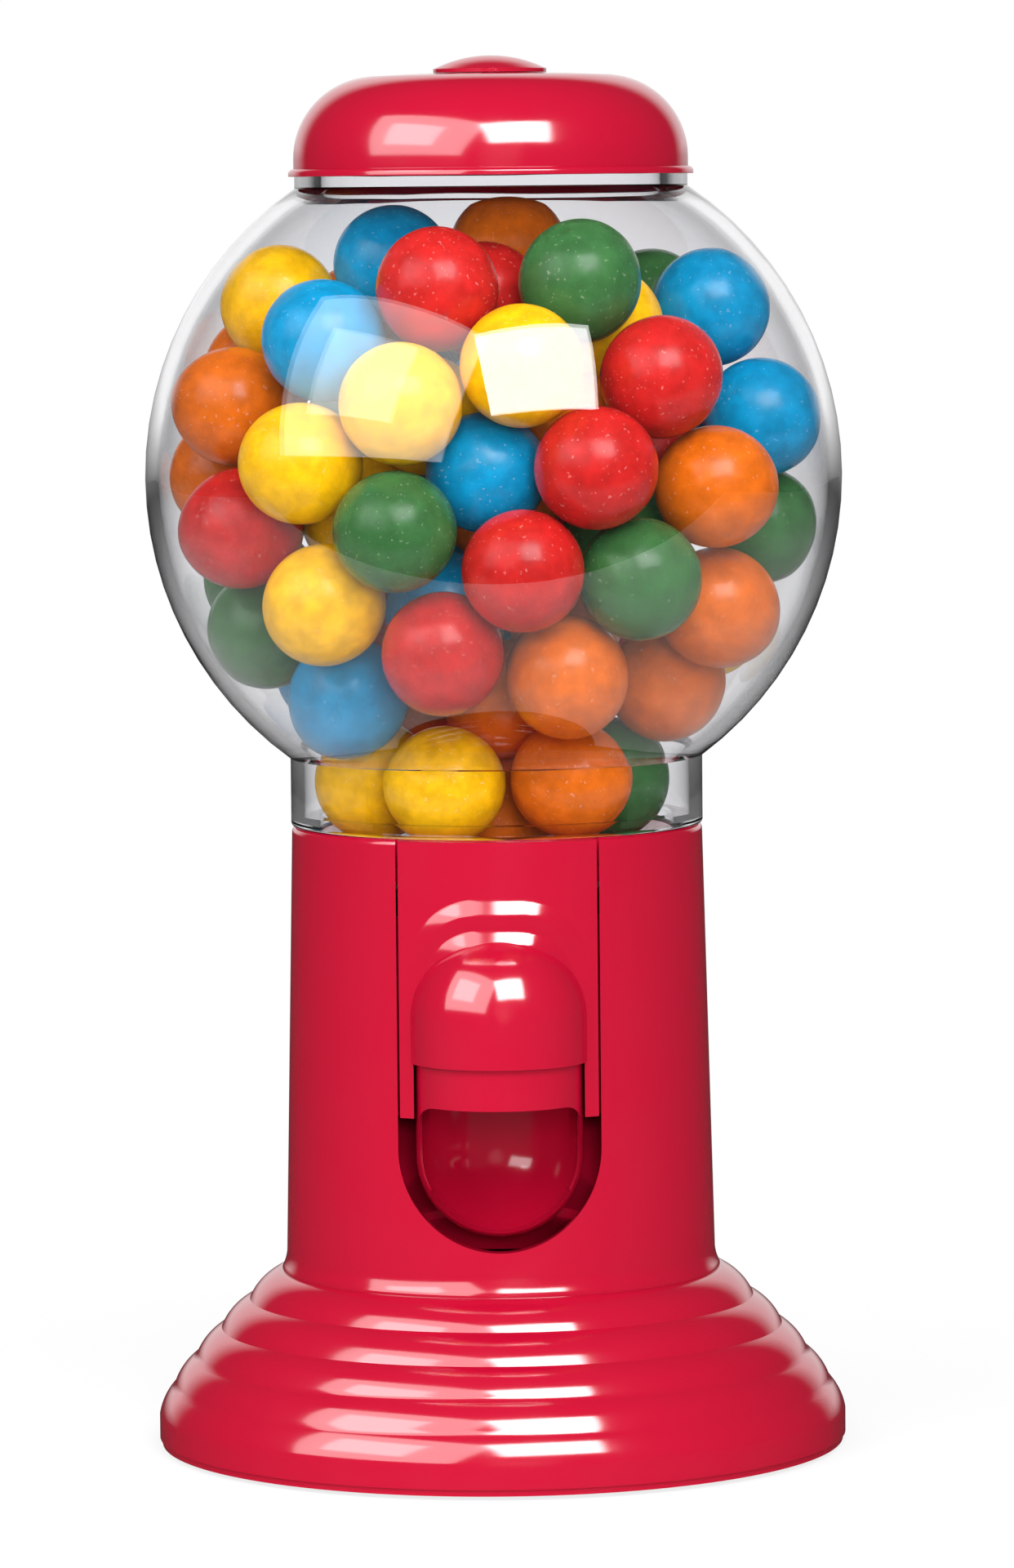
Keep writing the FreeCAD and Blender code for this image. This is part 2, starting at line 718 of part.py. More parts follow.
def make_lid():
    lid = body("lid")
    turn("Revolution", lid, [
        ("lid_radius + lid_rim_width", "lid_seat"),
        ("lid_radius + lid_rim_width", "lid_seat + lid_rim_height / 2", "left", "lid_rim_width"),
        ("lid_radius", "lid_seat + lid_rim_height"),
        ("lid_radius", "lid_top - lid_crown - lid_round", "left", "lid_round"),
        ("crown_reach", "lid_top - lid_crown", "left", "crown_radius"),
        ("stem_hole", "crown_at_stem"),
        ("stem_hole", "lid_ceiling"),
        ("crown_reach", "lid_ceiling", "right", "lid_round - lid_wall"),
        ("lid_hollow", "lid_top - lid_crown - lid_round"),
        ("lid_hollow", "lid_seat"),
    ])
    knob = body("lid_knob")
    stem_foot = "lid_ceiling - 2 * clip_thickness"
    turn("Revolution", knob, [
        ("0", stem_foot),
        ("knob_stem", stem_foot),
        ("knob_stem", "lid_top"),
        ("knob_radius", "lid_top"),
        ("knob_radius", "lid_top + knob_edge", "left", "cap_radius"),
        ("0", "lid_top + knob_height"),
    ])
    clip = body("knob_clip")
    washer = sketch(clip, "XY_Plane", ("0", "0", "lid_ceiling - clip_thickness"))
    circle(washer, "0", "0", "clip_radius")
    circle(washer, "0", "0", "knob_stem")
    extrude("Pad", clip, washer, "clip_thickness")


# Dispensing drum, its bearings and its gear pair

def make_bracket(label, side):
    """Bearing plate that hangs from the hopper. Side is a minus sign for the left one."""
    bracket = body(label)
    web = sketch(bracket, "YZ_Plane", ("0", "0", "-bracket_out" if side else "bracket_in"))
    outline(web, [
        ("-bracket_half", "ledge_top"),
        ("-bracket_half", "drum_z + bracket_tail"),
        ("-bracket_tail", "drum_z", "left", "bracket_tail"),
        ("0", "drum_z - bracket_tail", "left", "bracket_tail"),
        ("bracket_tail", "drum_z"),
        ("bracket_half", "drum_z + bracket_tail"),
        ("bracket_half", "ledge_top"),
        ("fork_half", "ledge_top"),
        ("fork_half", "throat_foot - bracket_gap"),
        ("-fork_half", "throat_foot - bracket_gap"),
        ("-fork_half", "ledge_top"),
    ])
    circle(web, "0", "drum_z", "journal_radius + running_gap")
    extrude("Pad", bracket, web, "bracket_wall")
    foot = sketch(bracket, "XY_Plane", ("0", "0", "ledge_top - bracket_foot_wall"))
    outline(foot, [
        (side + "bracket_out", "-bracket_half"),
        (side + "(bracket_out + bracket_foot)", "-bracket_half"),
        (side + "(bracket_out + bracket_foot)", "bracket_half"),
        (side + "bracket_out", "bracket_half"),
    ])
    for reach in ("bracket_screw_reach", "-bracket_screw_reach"):
        circle(foot, side + "bracket_screw_right", reach, "small_screw_radius + seat_fit")
    extrude("Pad", bracket, foot, "bracket_foot_wall")


def make_bracket_screws():
    places = [(right, reach) for right in ("bracket_screw_right", "-bracket_screw_right")
              for reach in ("bracket_screw_reach", "-bracket_screw_reach")]
    upright_screws("bracket_screws", places, "ledge_top - bracket_foot_wall", "small_screw")


def make_drum():
    drum = body("dispensing_drum")
    for radius, start, length in (("drum_radius", "-drum_half", "2 * drum_half"),
                                  ("journal_radius", "-gear_in", "2 * gear_in"),
                                  ("stub_radius", "drum_half", "gear_out - drum_half")):
        section = sketch(drum, "YZ_Plane", ("0", "drum_z", start))
        circle(section, "0", "0", radius)
        extrude("Pad", drum, section, length)
    pilot = sketch(drum, "YZ_Plane", ("0", "drum_z", "gear_out"))
    circle(pilot, "0", "0", "small_screw_radius")
    extrude("Pocket", drum, pilot, "small_screw_length")
    turn("Groove", drum, [
        ("0", "drum_z - cup_radius", "left", "cup_radius"),
        ("cup_radius", "drum_z"),
        ("cup_radius", "drum_top + cup_clearance"),
        ("0", "drum_top + cup_clearance"),
    ])
    loaded_z = "drum_z - cup_clearance + ball_gap"
    finish("gumball_loaded", solid("Sphere", "gumball_loaded", ("0", "0", loaded_z), Radius="ball_radius"))


def make_pinion():
    pinion = body("drum_pinion")
    ring = sketch(pinion, "YZ_Plane", ("0", "drum_z", "gear_in"))
    circle(ring, "0", "0", "gear_root")
    circle(ring, "0", "0", "stub_radius")
    extrude("Pad", pinion, ring, "gear_width")
    tooth = sketch(pinion, "YZ_Plane", ("0", "drum_z", "gear_in"))
    flank = [("-0.9 * gear_root", "gear_pitch / 4"),
             ("-gear_radius", "gear_pitch / 4 - gear_backlash / 2"),
             ("-gear_tip", "tooth_end_modules * gear_module - gear_backlash / 2")]
    outline(tooth, flank + [(across, f"-({up})") for across, up in reversed(flank)])
    first = extrude("Pad", pinion, tooth, "gear_width")
    teeth = pinion.newObject("PartDesign::PolarPattern", "pinion_teeth")
    teeth.Originals = [first]
    teeth.Axis = (tooth, ["N_Axis"])
    teeth.Angle = 360
    teeth.setExpression("Occurrences", bound("gear_teeth"))
    pinion.Tip = teeth
    doc.recompute()
    finish("pinion_screw", screw("pinion_screw", ("gear_out", "0", "drum_z"), (0, 1, 0), -90, "small_screw"))


def make_rack():
    rack = body("slide_rack")
    strip = sketch(rack, "YZ_Plane", ("0", "0", "gear_in"))
    flank = "gear_pitch / 4 - gear_backlash / 2"
    root = f"({flank} + rack_root_modules * gear_module * tan(pressure_angle))"
    tip = f"({flank} - rack_tip_modules * gear_module * tan(pressure_angle))"
    corners = [("rack_back", "rack_head"), ("rack_back", "rack_foot"), ("rack_root", "rack_foot")]
    for index in range(int(number("rack_teeth"))):
        middle = f"drum_z + ({index} + 1 / 2 - rack_spare_teeth) * gear_pitch"
        corners += [("rack_root", f"{middle} - {root}"), ("rack_tip", f"{middle} - {tip}"),
                    ("rack_tip", f"{middle} + {tip}"), ("rack_root", f"{middle} + {root}")]
    outline(strip, corners + [("rack_root", "rack_head")])
    for height in ("rack_screw_low", "rack_screw_high"):
        circle(strip, "rack_screw_y", height, "small_screw_radius")
    extrude("Pad", rack, strip, "gear_width")
    group("rack_screws", [screw("rack_" + height, ("arm_out", "rack_screw_y", height), (0, 1, 0), -90,
                                "small_screw") for height in ("rack_screw_low", "rack_screw_high")])


# Push slide

def column_shell(name, low, high, inset_out, inset_in):
    """Tapered sleeve that follows the column between two heights."""
    cones = [solid("Cone", f"{name}_{side}", ("0", "0", low), Radius1=column_radius(low, inset),
                   Radius2=column_radius(high, inset), Height=f"({high}) - ({low})")
             for side, inset in (("outer", inset_out), ("inner", inset_in))]
    return cut(name, *cones)


def front_panel(name, half, low, high, inset_out, inset_in):
    """Front stretch of such a sleeve, as wide as twice half."""
    front = block(name + "_width", (f"-{half}", "-base_radius", low), (half, "0", high))
    return join(name, [front, column_shell(name + "_shell", low, high, inset_out, inset_in)], "MultiCommon")


def half_bullet(name, radius, foot):
    """Front half of an upright round-nosed post on the dome's axis, from a foot height up."""
    at = ("0", "-dome_reach", "drum_z")
    return [solid("Sphere", name + "_nose", at, (0, 0, 1), 180, Radius=radius, Angle1="0", Angle3="180"),
            solid("Cylinder", name + "_skirt", (*at[:2], foot), (0, 0, 1), 180, Radius=radius, Angle="180",
                  Height=f"drum_z - ({foot})")]


def arch_step(name):
    """One raised step above the dome: a round-cornered arch that stands a little proud of the column."""
    shoulder = f"({name}_top - {name}_corner)"
    inner = f"({name}_half - {name}_corner)"
    legs = block(name + "_legs", (f"-{name}_half", "-base_radius", "dome_rim"),
                 (f"{name}_half", "-dome_reach", shoulder))
    crown = block(name + "_crown", (f"-{inner}", "-base_radius", shoulder),
                  (inner, "-dome_reach", name + "_top"))
    corners = [rod(name + "_corner", (side + inner, "-dome_reach", shoulder), "base_radius - dome_reach",
                   name + "_corner") for side in ("", "-")]
    arch = join(name + "_arch", [legs, crown, *corners])
    sleeve = column_shell(name + "_sleeve", "dome_rim", "column_top", f"-{name}_relief", "panel_in")
    return join(name, [arch, sleeve], "MultiCommon")


def make_push_slide():
    lower = ("slide_foot", "flange_top")
    shapes = [front_panel("panel_low", "slide_half", *lower, "0", "flange_in"),
              front_panel("panel_high", "slide_half", "flange_top", "slide_top", "0", "panel_in"),
              front_panel("slide_flange", "flange_half", *lower, "flange_out", "flange_in")]
    shapes += [arch_step("low_step"), arch_step("high_step")]
    shapes += half_bullet("dome", "dome_radius", "dome_rim")
    shapes.append(block("rack_arm", ("arm_in", "-arm_reach", "rack_foot"),
                        ("arm_out", "rack_screw_y + small_screw_head", "rack_head")))
    shapes.append(block("spring_arm", ("-spring_arm_out", "-spring_arm_reach", "spring_top"),
                        ("-(spring_right - spring_side)", "-(spring_reach - spring_side)", "spring_arm_top")))
    post_foot = ("-spring_right", "-spring_reach", "spring_top - post_height")
    shapes.append(solid("Cylinder", "spring_arm_post", post_foot, Radius="post_radius",
                        Height="post_height + arm_wall"))
    below = "(slide_foot - stroke)"
    voids = half_bullet("dome_void", "dome_hollow", below)
    voids.append(block("passage", ("-dome_hollow", "-dome_reach", below), ("dome_hollow", "0", "drum_z")))
    voids.append(rod("passage_arch", ("0", "0", "drum_z"), "dome_reach", "dome_hollow", "180"))
    for height in ("rack_screw_low", "rack_screw_high"):
        voids.append(solid("Cylinder", "hole_" + height, ("arm_in - arm_wall", "rack_screw_y", height),
                           (0, 1, 0), 90, Radius="small_screw_radius + seat_fit", Height="3 * arm_wall"))
    finish("push_slide", cut("push_slide", join("slide_blank", shapes), join("slide_void", voids)))


# Chute

def bullet_corners(radius, top):
    """Half outline of an upright shaft with a round bottom."""
    return [("0", f"cup_z - {radius}", "left", radius), (radius, "cup_z"), (radius, top), ("0", top)]


def rectangle(made, low, high):
    outline(made, [low, (high[0], low[1]), high, (low[0], high[1])])


def make_chute():
    chute = body("chute")
    turn("Revolution", chute, bullet_corners("spout_radius", "spout_top"), ("0", "0", "dome_reach"))
    tray = sketch(chute, "XZ_Plane", ("0", "0", "chute_back"))
    rectangle(tray, ("-spout_radius", "entry_z - spout_wall"), ("spout_radius", "spout_top"))
    extrude("Pad", chute, tray, "dome_reach - chute_back")
    plate = sketch(chute, "XZ_Plane", ("0", "0", "chute_plate_back"))
    rectangle(plate, ("-chute_plate_half", "chute_plate_foot"), ("chute_plate_half", "chute_plate_top"))
    for side in ("", "-"):
        circle(plate, side + "chute_screw_right", "chute_screw_z", "small_screw_radius + seat_fit")
    extrude("Pad", chute, plate, "chute_plate_wall")
    shelf = sketch(chute, "XY_Plane", ("0", "0", "shelf_top - shelf_wall"))
    rectangle(shelf, ("-(spring_right + spring_side)", "-chute_plate_back"),
              ("-(spring_right - spring_side)", "-(spring_reach - spring_side)"))
    extrude("Pad", chute, shelf, "shelf_wall")
    post = sketch(chute, "XY_Plane", ("0", "0", "shelf_top - shelf_wall"))
    circle(post, "-spring_right", "-spring_reach", "post_radius")
    extrude("Pad", chute, post, "shelf_wall + post_height")
    above = "spout_top + spout_lap"
    turn("Groove", chute, bullet_corners("spout_hollow", above), ("0", "0", "dome_reach"))
    entry = sketch(chute, "XZ_Plane", ("0", "0", "chute_back - spout_wall"))
    rectangle(entry, ("-spout_hollow", "entry_z"), ("spout_hollow", above))
    extrude("Pocket", chute, entry, "dome_reach - chute_back + spout_wall", reverse=True)
    outlet = sketch(chute, "XZ_Plane", ("0", "0", "dome_reach"))
    outline(outlet, [
        ("-outlet_half", "outlet_z", "left", "outlet_half"),
        ("0", "outlet_z - outlet_half", "left", "outlet_half"),
        ("outlet_half", "outlet_z"),
        ("outlet_half", "outlet_top - outlet_corner", "left", "outlet_corner"),
        ("outlet_half - outlet_corner", "outlet_top"),
        ("-(outlet_half - outlet_corner)", "outlet_top", "left", "outlet_corner"),
        ("-outlet_half", "outlet_top - outlet_corner"),
    ])
    extrude("Pocket", chute, outlet, "spout_radius + spout_wall", reverse=True)
    group("chute_screws", [screw("chute_screw_" + ("left" if side else "right"),
                                 (side + "chute_screw_right", "-chute_plate_back", "chute_screw_z"),
                                 (1, 0, 0), 90, "small_screw") for side in ("", "-")])


# Return spring

def tangent_arc(start, heading, end):
    """Arc that leaves a point along a heading and ends at another point, with its heading there."""
    chord = end - start
    aside = chord - heading * chord.dot(heading)
    aside.normalize()
    bend = math.atan2(chord.dot(aside), chord.dot(heading))
    radius = chord.Length / (2 * math.sin(bend))
    middle = start + (heading * math.sin(bend) + aside * (1 - math.cos(bend))) * radius
    return Part.Arc(start, middle, end).toShape()


def biarc(start, heading, end, arrival):
    """Two arcs that join two points smoothly with given headings."""
    chord = end - start
    both = heading + arrival
    turned = 2 * (1 - heading.dot(arrival))
    lead = (-chord.dot(both) + math.sqrt(chord.dot(both)**2 + turned * chord.dot(chord))) / turned
    meeting = (start + heading * lead + end - arrival * lead) / 2
    return [tangent_arc(start, heading, meeting), tangent_arc(end, arrival * -1, meeting)]


def make_spring():
    radius, wire = number("spring_radius"), number("spring_wire")
    low = number("shelf_top + spring_wire / 2 + ball_gap")
    high = number("spring_top - spring_wire / 2 - ball_gap")
    quarters = 4 * int(number("spring_turns"))
    climb = (high - low) / quarters

    def helix(step):
        angle = math.pi / 2 * step
        point = FreeCAD.Vector(radius * math.cos(angle), radius * math.sin(angle), low + climb * step)
        heading = FreeCAD.Vector(-radius * math.sin(angle), radius * math.cos(angle), climb * 2 / math.pi)
        return point, heading.normalize()

    edges = []
    for step in range(quarters):
        edges += biarc(*helix(step), *helix(step + 1))
    start, heading = helix(0)
    section = Part.Wire([Part.makeCircle(wire / 2, start, heading)])
    made = doc.addObject("Part::Feature", "return_spring")
    made.Shape = Part.Wire(edges).makePipeShell([section], True, False)
    made.Placement.Base = FreeCAD.Vector(-number("spring_right"), -number("spring_reach"), 0)
    finish("return_spring", made)
    print("spring gap between turns", round(4 * climb - wire, 2))


# Gumballs

def held_inside(place, radius):
    """Nearest place for a ball of that radius inside the globe, its neck and the hopper."""
    centre = number_of["globe_centre"]
    out = place - FreeCAD.Vector(0, 0, centre)
    flat = math.hypot(place.x, place.y)
    over_neck = out.z < 0 and flat * number_of["globe_hollow"] < out.Length * number_of["neck_hollow"]
    if out.Length > number_of["globe_hollow"] - radius and not over_neck:
        out.multiply((number_of["globe_hollow"] - radius) / out.Length)
        place = out + FreeCAD.Vector(0, 0, centre)
    edges = [(number_of["neck_hollow"], number_of["neck_join"]),
             (number_of["spigot_hollow"], number_of["column_top"] + number_of["neck_lip"])]
    for edge_radius, edge_height in edges:
        flat = max(math.hypot(place.x, place.y), 1e-6)
        across, up = flat - edge_radius, place.z - edge_height
        away = math.hypot(across, up)
        if away < radius and away > 0:
            across, up = across * radius / away, up * radius / away
            share = (edge_radius + across) / flat
            place = FreeCAD.Vector(place.x * share, place.y * share, edge_height + up)
    for bore, top in edges:
        flat = math.hypot(place.x, place.y)
        if place.z < top and flat > bore - radius:
            share = (bore - radius) / flat
            place = FreeCAD.Vector(place.x * share, place.y * share, place.z)
    slope = ((number_of["column_top"] - number_of["throat_top"])
             / (number_of["hopper_radius"] - number_of["throat_radius"]))
    floor = number_of["throat_top"] + (math.hypot(place.x, place.y) - number_of["throat_radius"]) * slope
    lowest = floor + radius * math.hypot(1, slope)
    return FreeCAD.Vector(place.x, place.y, max(place.z, lowest))


def seen_places(radius):
    """Starting places of the gumballs that show through the front."""
    wall = number_of["globe_hollow"] - radius
    for colour, right, up, back in SEEN:
        if back is None:
            back = -math.sqrt(max(wall**2 - right**2 - up**2, 0))
        yield colour, FreeCAD.Vector(right, back, number_of["globe_centre"] + up)


def filling_places(spacing):
    """Staggered rows of places through the whole globe, from the bottom up to the fill level."""
    count = int(2 * number_of["globe_radius"] / spacing) + 1
    bottom, top = number_of["column_top"], number_of["globe_centre"] + number_of["fill_level"]
    rise = LAYER_RISE * spacing
    for layer in range(int((top - bottom) / rise) + 1):
        odd = layer % 2
        for row in range(-count, count + 1):
            back = (row * ROW_STEP + odd * LAYER_BACK) * spacing
            for column in range(-count, count + 1):
                across = (column + (row % 2) / 2 + odd * LAYER_ASIDE) * spacing
                yield FreeCAD.Vector(across, back, bottom + rise * layer)


def settle(balls, radius, rounds):
    """Pushes balls apart and back inside. A ball is [colour, place, how easily it moves]."""
    for _ in range(rounds):
        for index, first in enumerate(balls):
            for second in balls[:index]:
                gap = second[1] - first[1]
                overlap = 2 * radius - gap.Length
                if overlap > 0 and gap.Length > 0:
                    gap.multiply(overlap / gap.Length / (first[2] + second[2]))
                    first[1] = first[1] - gap * first[2]
                    second[1] = second[1] + gap * second[2]
        for ball in balls:
            ball[1] = held_inside(ball[1], radius)


def make_gumballs():
    radius = number("ball_radius")
    room = radius + number("ball_gap")
    balls = [[colour, place, SEEN_SHARE] for colour, place in seen_places(room)]
    settle(balls, room, SEEN_ROUNDS)
    for place in filling_places(2 * room):
        snug = (held_inside(place, room) - place).Length < radius / 2
        if snug and all((place - ball[1]).Length > NEAREST_START * radius for ball in balls):
            balls.append([COLOURS[len(balls) % len(COLOURS)], place, 1.0])
    settle(balls, room, ALL_ROUNDS)
    kept = []
    for ball in balls:
        inside = (held_inside(ball[1], radius) - ball[1]).Length == 0
        if inside and all((ball[1] - other[1]).Length > 2 * radius for other in kept):
            kept.append(ball)
    print("gumballs", len(kept), "of", len(balls))
    for colour in COLOURS:
        same = [ball[1] for ball in kept if ball[0] == colour]
        spheres = []
        for index, place in enumerate(same):
            sphere = solid("Sphere", f"{colour}_ball_{index}", [str(round(value, 3)) for value in place],
                           Radius="ball_radius")
            spheres.append(sphere)
        group("gumballs_" + colour, spheres)


# Check and export

def main():
    make_base()
    make_base_plate()
    make_feet_and_base_screws()
    make_column()
    make_globe()
    make_hopper_plate()
    make_lid()
    make_bracket("right_bracket", "")
    make_bracket("left_bracket", "-")
    make_bracket_screws()
    make_drum()
    make_pinion()
    make_rack()
    make_push_slide()
    make_chute()
    make_spring()
    make_gumballs()
    doc.recompute()
    for item in doc.Objects:
        if "Invalid" in item.State or "Error" in item.State:
            raise RuntimeError(f"{item.Label} did not build: {item.State}")
    for item in PIECES:
        if item.Shape.isNull() or not item.Shape.isValid() or not item.Shape.Solids:
            raise RuntimeError(f"{item.Label} has no valid solid")
    os.makedirs("parts", exist_ok=True)
    for item in PIECES:
        item.Shape.exportStep(os.path.join("parts", item.Label + ".step"))


number_of = {name: number(name) for name in list(SIZES) + list(PLACES)}
main()
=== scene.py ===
import json
import math
import random

import bmesh
import bpy
from bpy.props import FloatProperty, FloatVectorProperty, PointerProperty
from mathutils import Matrix, Vector


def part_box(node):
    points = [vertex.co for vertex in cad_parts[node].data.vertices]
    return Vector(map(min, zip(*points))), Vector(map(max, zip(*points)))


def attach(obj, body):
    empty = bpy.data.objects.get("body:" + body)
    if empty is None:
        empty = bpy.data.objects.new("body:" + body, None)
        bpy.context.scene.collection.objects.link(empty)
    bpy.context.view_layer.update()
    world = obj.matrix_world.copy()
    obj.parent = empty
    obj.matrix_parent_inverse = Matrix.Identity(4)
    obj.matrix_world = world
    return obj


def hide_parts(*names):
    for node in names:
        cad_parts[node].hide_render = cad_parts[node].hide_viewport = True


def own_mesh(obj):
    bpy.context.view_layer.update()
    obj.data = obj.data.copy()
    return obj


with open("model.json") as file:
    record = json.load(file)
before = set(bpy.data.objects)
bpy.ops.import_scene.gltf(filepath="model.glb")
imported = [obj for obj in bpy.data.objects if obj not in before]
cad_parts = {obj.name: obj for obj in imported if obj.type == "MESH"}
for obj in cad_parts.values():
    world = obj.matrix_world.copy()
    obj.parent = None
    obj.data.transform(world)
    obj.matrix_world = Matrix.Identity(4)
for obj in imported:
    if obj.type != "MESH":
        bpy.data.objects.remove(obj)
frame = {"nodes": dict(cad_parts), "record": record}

bl_info = {
    "name": "Gumball Machine",
    "version": (1, 0, 0),
    "blender": (4, 5, 0),
    "location": "View3D > Sidebar > Gumball",
    "description": "Builds a toy gumball machine round its moving frame",
    "category": "Object",
}

MM = 0.001
SPIN_STEPS = 192
ARC_STEPS = 12
ARC_STEPS_LEAST = 3
WELD = 1e-7
CAD_WELD = 1e-6
SHARP_ANGLE = math.radians(32)
GUM_COLOURS = ("red", "orange", "yellow", "green", "blue")
GUM_SEED = 16

# Heights that the frame fixes, in metres
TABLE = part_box("rubber_feet")[0].z
BASE_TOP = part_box("column")[0].z
COLUMN_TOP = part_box("column")[1].z
LID_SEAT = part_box("lid")[0].z
LID_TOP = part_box("lid")[1].z
KNOB_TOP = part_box("lid_knob")[1].z
KNOB_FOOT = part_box("lid_knob")[0].z
SPRING_LOW, SPRING_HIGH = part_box("return_spring")


# Sizes and colours

def linear(hex_text):
    """Linear colour of an sRGB hex value."""
    parts = [int(hex_text[start:start + 2], 16) / 255 for start in (1, 3, 5)]
    return tuple(part / 12.92 if part <= 0.04045 else ((part + 0.055) / 1.055) ** 2.4 for part in parts)


def length(name, millimetres, description):
    """Length property with its default in millimetres."""
    return FloatProperty(name=name, description=description, default=millimetres * MM, min=0.0,
                         precision=5, unit="LENGTH")


def colour(name, hex_text, description):
    """Colour property with its default as an sRGB hex value."""
    return FloatVectorProperty(name=name, description=description, default=linear(hex_text), size=3,
                               min=0.0, max=1.0, subtype="COLOR")


class GumballBaseSizes(bpy.types.PropertyGroup):
    """Sizes of the ringed base and the column."""
    radius: length("Base Radius", 46.6, "Radius of the base at its lowest ring")
    rim: length("Rim Height", 1.5, "Height of the base's lower edge above the table")
    ring_top: length("Ring Top Radius", 30.0, "Radius of the crease above the highest ring")
    ring_pitch: length("Ring Pitch", 3.9, "Height from one crease between rings to the next")
    ring_round: length("Ring Round", 7.5, "Radius of the bulge of each ring")
    wall: length("Base Wall", 2.4, "Wall thickness of the base")
    plateau: length("Plateau Radius", 26.75, "Radius of the step that the column sits on")
    plateau_rise: length("Plateau Height", 2.0, "Height of the step that the column sits on")
    bore: length("Base Bore", 18.0, "Radius of the hole in the middle of the base")
    column_foot: length("Column Foot", 29.1, "Radius of the column above its flared foot")
    column_top: length("Column Top", 27.7, "Radius of the column at its top")
    column_wall: length("Column Wall", 2.2, "Wall thickness of the column")
    column_edge: length("Column Edge", 0.8, "Radius of the rounded top edge of the column")
    foot_lip: length("Foot Lip", 0.35, "Height of the straight edge under the column's flared foot")
    flare_width: length("Flare Width", 0.6, "How far the column's foot flares out")
    flare_height: length("Flare Height", 2.6, "Height of the column's flared foot")
    flare_round: length("Flare Round", 6.0, "Radius of the hollow round of the column's flared foot")
    channel_half: length("Channel Half Width", 13.45, "Half the width of the channel in the column's front")
    channel_rise: length("Channel Rise", 5.8, "Height of the channel's round bottom above the base")


class GumballSlideSizes(bpy.types.PropertyGroup):
    """Sizes of the push slide's front."""
    half: length("Slide Half Width", 13.15, "Half the width of the slide's panel")
    panel: length("Panel Depth", 1.9, "Thickness of the slide's panel")
    dome: length("Dome Radius", 11.9, "Outer radius of the dome")
    dome_wall: length("Dome Wall", 0.6, "Wall thickness of the dome")
    dome_reach: length("Dome Reach", 23.3, "Distance of the dome's own axis from the column's axis")
    dome_middle: length("Dome Height", 60.7, "Height of the dome's middle above the table")
    dome_rim: length("Dome Rim", 54.9, "Height of the dome's open lower rim above the table")
    passage_half: length("Passage Half Width", 7.4,
                         "Half the width of the panel's upper opening behind the dome")
    passage_rise: length("Passage Rise", 1.6, "Height of the panel's wide opening above the dome's middle")
    bevel: length("Step Bevel", 2.0, "Width of the bevel round each raised arch")
    low_half: length("Low Step Half Width", 11.9, "Half the width of the lower raised arch")
    low_top: length("Low Step Top", 76.6, "Height of the lower raised arch's top above the table")
    low_corner: length("Low Step Corner", 9.0, "Corner radius of the lower raised arch")
    low_relief: length("Low Step Relief", 0.7, "How far the lower raised arch stands out")
    low_foot: length("Low Step Foot", 68.5, "Height at which the lower raised arch runs out")
    high_half: length("High Step Half Width", 10.1, "Half the width of the higher raised arch")
    high_top: length("High Step Top", 72.6, "Height of the higher raised arch's top above the table")
    high_corner: length("High Step Corner", 7.5, "Corner radius of the higher raised arch")
    high_relief: length("High Step Relief", 0.9,
                        "How far the higher raised arch stands out from the lower one")
    high_foot: length("High Step Foot", 62.0, "Height at which the higher raised arch runs out")


class GumballGlobeSizes(bpy.types.PropertyGroup):
    """Sizes of the globe, the lid, the knob and the gumballs."""
    radius: length("Globe Radius", 46.9, "Outer radius of the globe")
    wall: length("Globe Wall", 1.8, "Wall thickness of the globe")
    neck: length("Neck Radius", 27.8, "Outer radius of the globe's neck")
    neck_height: length("Neck Height", 9.2, "Height of the straight neck above the column")
    neck_lip: length("Neck Lip", 1.8, "Thickness of the flange that rests on the column")
    spigot: length("Spigot Radius", 25.35, "Outer radius of the ring inside the column")
    spigot_wall: length("Spigot Wall", 1.5, "Wall thickness of the ring inside the column")
    spigot_drop: length("Spigot Drop", 4.0, "Depth of the ring inside the column")
    mouth: length("Mouth Radius", 26.4, "Outer radius of the mouth under the lid")
    lip: length("Lip Radius", 24.6, "Outer radius of the lip inside the lid")
    lip_height: length("Lip Height", 4.0, "Height of the lip inside the lid")
    lid: length("Lid Radius", 26.5, "Outer radius of the lid")
    lid_wall: length("Lid Wall", 1.6, "Wall thickness of the lid")
    lid_round: length("Lid Round", 11.0, "Radius of the lid's shoulder")
    lid_crown: length("Lid Crown", 0.4, "Rise of the lid's nearly flat top")
    lid_rim: length("Lid Rim", 0.7, "How far the rolled rim of the lid stands out")
    lid_rim_height: length("Lid Rim Height", 1.0, "Height of the rolled rim of the lid")
    knob: length("Knob Radius", 7.6, "Radius of the knob on the lid")
    knob_edge: length("Knob Edge", 0.5, "Height of the straight edge of the knob")
    stem: length("Stem Radius", 2.0, "Radius of the knob's stem")
    stem_fit: length("Stem Fit", 0.15, "Clearance round the knob's stem")
    ball: length("Gumball Radius", 8.0, "Radius of a gumball")
    spring: length("Spring Radius", 1.75, "Radius of the return spring's turns")
    wire: length("Spring Wire", 0.7, "Diameter of the return spring's wire")


class GumballColours(bpy.types.PropertyGroup):
    """Colours of the plastics and the gumballs."""
    plastic: colour("Red Plastic", "#A40828", "Body colour of the red plastic")
    clear: colour("Clear Plastic", "#FAFAFC", "Tint of the clear plastic")
    white: colour("White Plastic", "#E6E4DE", "Body colour of the inner plastic pieces")
    red: colour("Red Gum", "#AE1A17", "Shell colour of the red gumballs")
    orange: colour("Orange Gum", "#C65E0A", "Shell colour of the orange gumballs")
    yellow: colour("Yellow Gum", "#E0AA00", "Shell colour of the yellow gumballs")
    green: colour("Green Gum", "#305E31", "Shell colour of the green gumballs")
    blue: colour("Blue Gum", "#0080AE", "Shell colour of the blue gumballs")


# Materials

